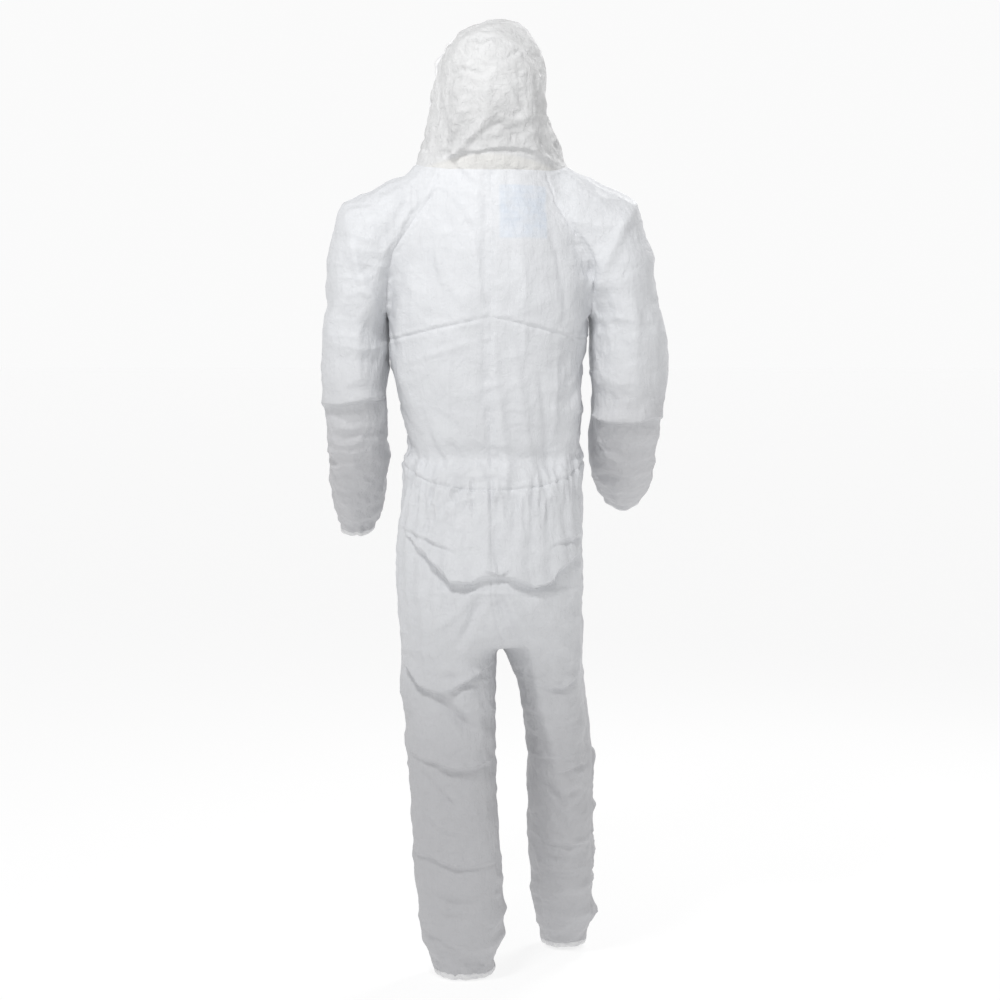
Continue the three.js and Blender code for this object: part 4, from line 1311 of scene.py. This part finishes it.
def make_teeth(side, materials):
    """One side's moulded teeth: each a bead on the tape with a narrower neck and a rounded head."""
    low, high = zip_box(f"{side}_zip_teeth")
    sign = SIDES[side]
    head, root = (low[0], high[0]) if sign > 0 else (high[0], low[0])
    points, quads = [], []
    offset = 0.25 * TOOTH_PITCH * sign
    for number in range(int((high[1] - low[1]) / TOOTH_PITCH) - 1):
        at = low[1] + TOOTH_PITCH * (number + 0.8) + offset
        base = len(points)
        for share, half in TOOTH:
            x = head + (root - head) * share
            half_deep = (high[2] - low[2]) / 2 * (0.72 if share == 0 else 1.0)
            middle = (high[2] + low[2]) / 2
            for s, n in TOOTH_ROUND:
                points.append(ZIP_AT + ZIP_ACROSS * x + ZIP_DOWN * (at + s * half / 1000)
                              + ZIP_OUT * (middle + n * half_deep))
        for ring in range(len(TOOTH) - 1):
            for k in range(8):
                a = base + ring * 8 + k
                b = base + ring * 8 + (k + 1) % 8
                quads.append((a, b, b + 8, a + 8))
        for ring in (0, len(TOOTH) - 1):
            cap = [base + ring * 8 + k for k in range(8)]
            quads.append(tuple(cap[::-1] if ring == 0 else cap))
    obj = new_object(f"{side}_zip_moulded_teeth", points, quads)
    face_outwards(obj)
    obj.data.materials.append(materials["plastic"])
    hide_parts(f"{side}_zip_teeth")
    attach(obj, "suit")


def make_front(materials):
    base = strip("storm_flap_sewn_base", "storm_flap_base", "suit_fabric", materials["trunk"], "suit")
    strip("storm_flap_fabric", "storm_flap", "suit_fabric", materials["trunk"], "flap", "hung", 0.0004, 0.004,
          with_pieces=[base])
    strip("flap_adhesive_film", "flap_adhesive_strip", "adhesive_tape", materials["adhesive"], "flap", "laid")
    strip("adhesive_liner_film", "adhesive_release_liner", "release_liner", materials["liner"], "flap",
          "laid")
    for side in SIDES:
        make_teeth(side, materials)
    for name in side_nodes("zip_tape"):
        finish_node(name, materials["tape"])
    for name in side_nodes("zip_top_stop") + ["zip_bottom_stop", "zip_slider", "zip_pull_tab"]:
        finish_node(name, materials["plastic"])


def finish_node(name, material):
    for place in frame["nodes"][name].material_slots:
        place.material = material


# ---- Stage ----
def make_stage():
    scene = bpy.context.scene
    scene.view_settings.view_transform = "Standard"
    size, floor_z = 60, HEM_Z - 0.002
    ground = new_object("floor", [(-size, -size, floor_z), (size, -size, floor_z), (size, size, floor_z),
                                  (-size, size, floor_z)], [(0, 1, 2, 3)])
    paint = Shader("pale_floor", (0.22, 0.22, 0.22), 0.9, on_fabric=False)
    paint.principled.inputs["Emission Color"].default_value = (1, 1, 1, 1)
    paint.principled.inputs["Emission Strength"].default_value = 0.80
    ground.data.materials.append(paint.material)
    world = bpy.data.worlds.new("studio")
    world.use_nodes = True
    scene.world = world
    tree = world.node_tree
    place = tree.nodes.new("ShaderNodeTexCoord")
    axes = tree.nodes.new("ShaderNodeSeparateXYZ")
    tree.links.new(place.outputs["Generated"], axes.inputs[0])
    ramp = tree.nodes.new("ShaderNodeMapRange")
    ramp.interpolation_type = "SMOOTHSTEP"
    for key, value in (("From Min", 0.14), ("From Max", 0.60), ("To Min", 0.96), ("To Max", 0.40)):
        ramp.inputs[key].default_value = value
    tree.links.new(axes.outputs[2], ramp.inputs["Value"])
    tree.links.new(ramp.outputs[0], tree.nodes["Background"].inputs["Strength"])
    tree.nodes["Background"].inputs["Color"].default_value = (1, 1, 1, 1)
    for name, at, aim, size, power in (
            ("key", (0.55, 1.30, 1.30), (0, 0, -0.3), 0.35, 25),
            ("front", (-1.2, -1.9, 1.3), (0, 0, -0.4), 0.8, 30)):
        lamp = bpy.data.lights.new(name, "AREA")
        lamp.size = size
        lamp.energy = power
        holder = bpy.data.objects.new(name, lamp)
        holder.location = at
        holder.rotation_euler = (Vector(aim) - Vector(at)).to_track_quat("-Z", "Y").to_euler()
        scene.collection.objects.link(holder)


# ---- Build ----
DRAPE_SHARE = 0.4     # how much of the simulated drape is kept; the film is stiffer than the simulated cloth


def build():
    points, quads = skin()
    points = relaxed(points, unique_edges(quads), 6)
    points, quads = drop_loose(points, quads, opening_inset(points[quads].mean(axis=1)) > 0)
    if (points[quads[:, 0]] * np.cross(points[quads[:, 1]], points[quads[:, 2]])).sum() < 0:
        quads = quads[:, ::-1]
    shape = points + DRAPE_SHARE * (draped(points, quads) - points)
    points, rest, quads, panel = subdivided(cut_skin(points, shape, quads))
    normals = point_normals(points, quads)
    rest_normals = point_normals(rest, quads)
    seam = seam_distance(rest, quads, panel, is_seamless)
    points = points + normals * relief(rest, rest_normals, seam)[:, None]
    normals = point_normals(points, quads)
    materials = make_materials()
    make_fabric(points, rest, quads, panel, normals, grown(rest), materials)
    make_casings(points, rest, quads, normals, materials)
    make_waist_elastic(points, rest, quads, panel, normals, materials)
    make_label(points, rest, quads, panel, normals, materials)
    make_front(materials)


build()
make_stage()
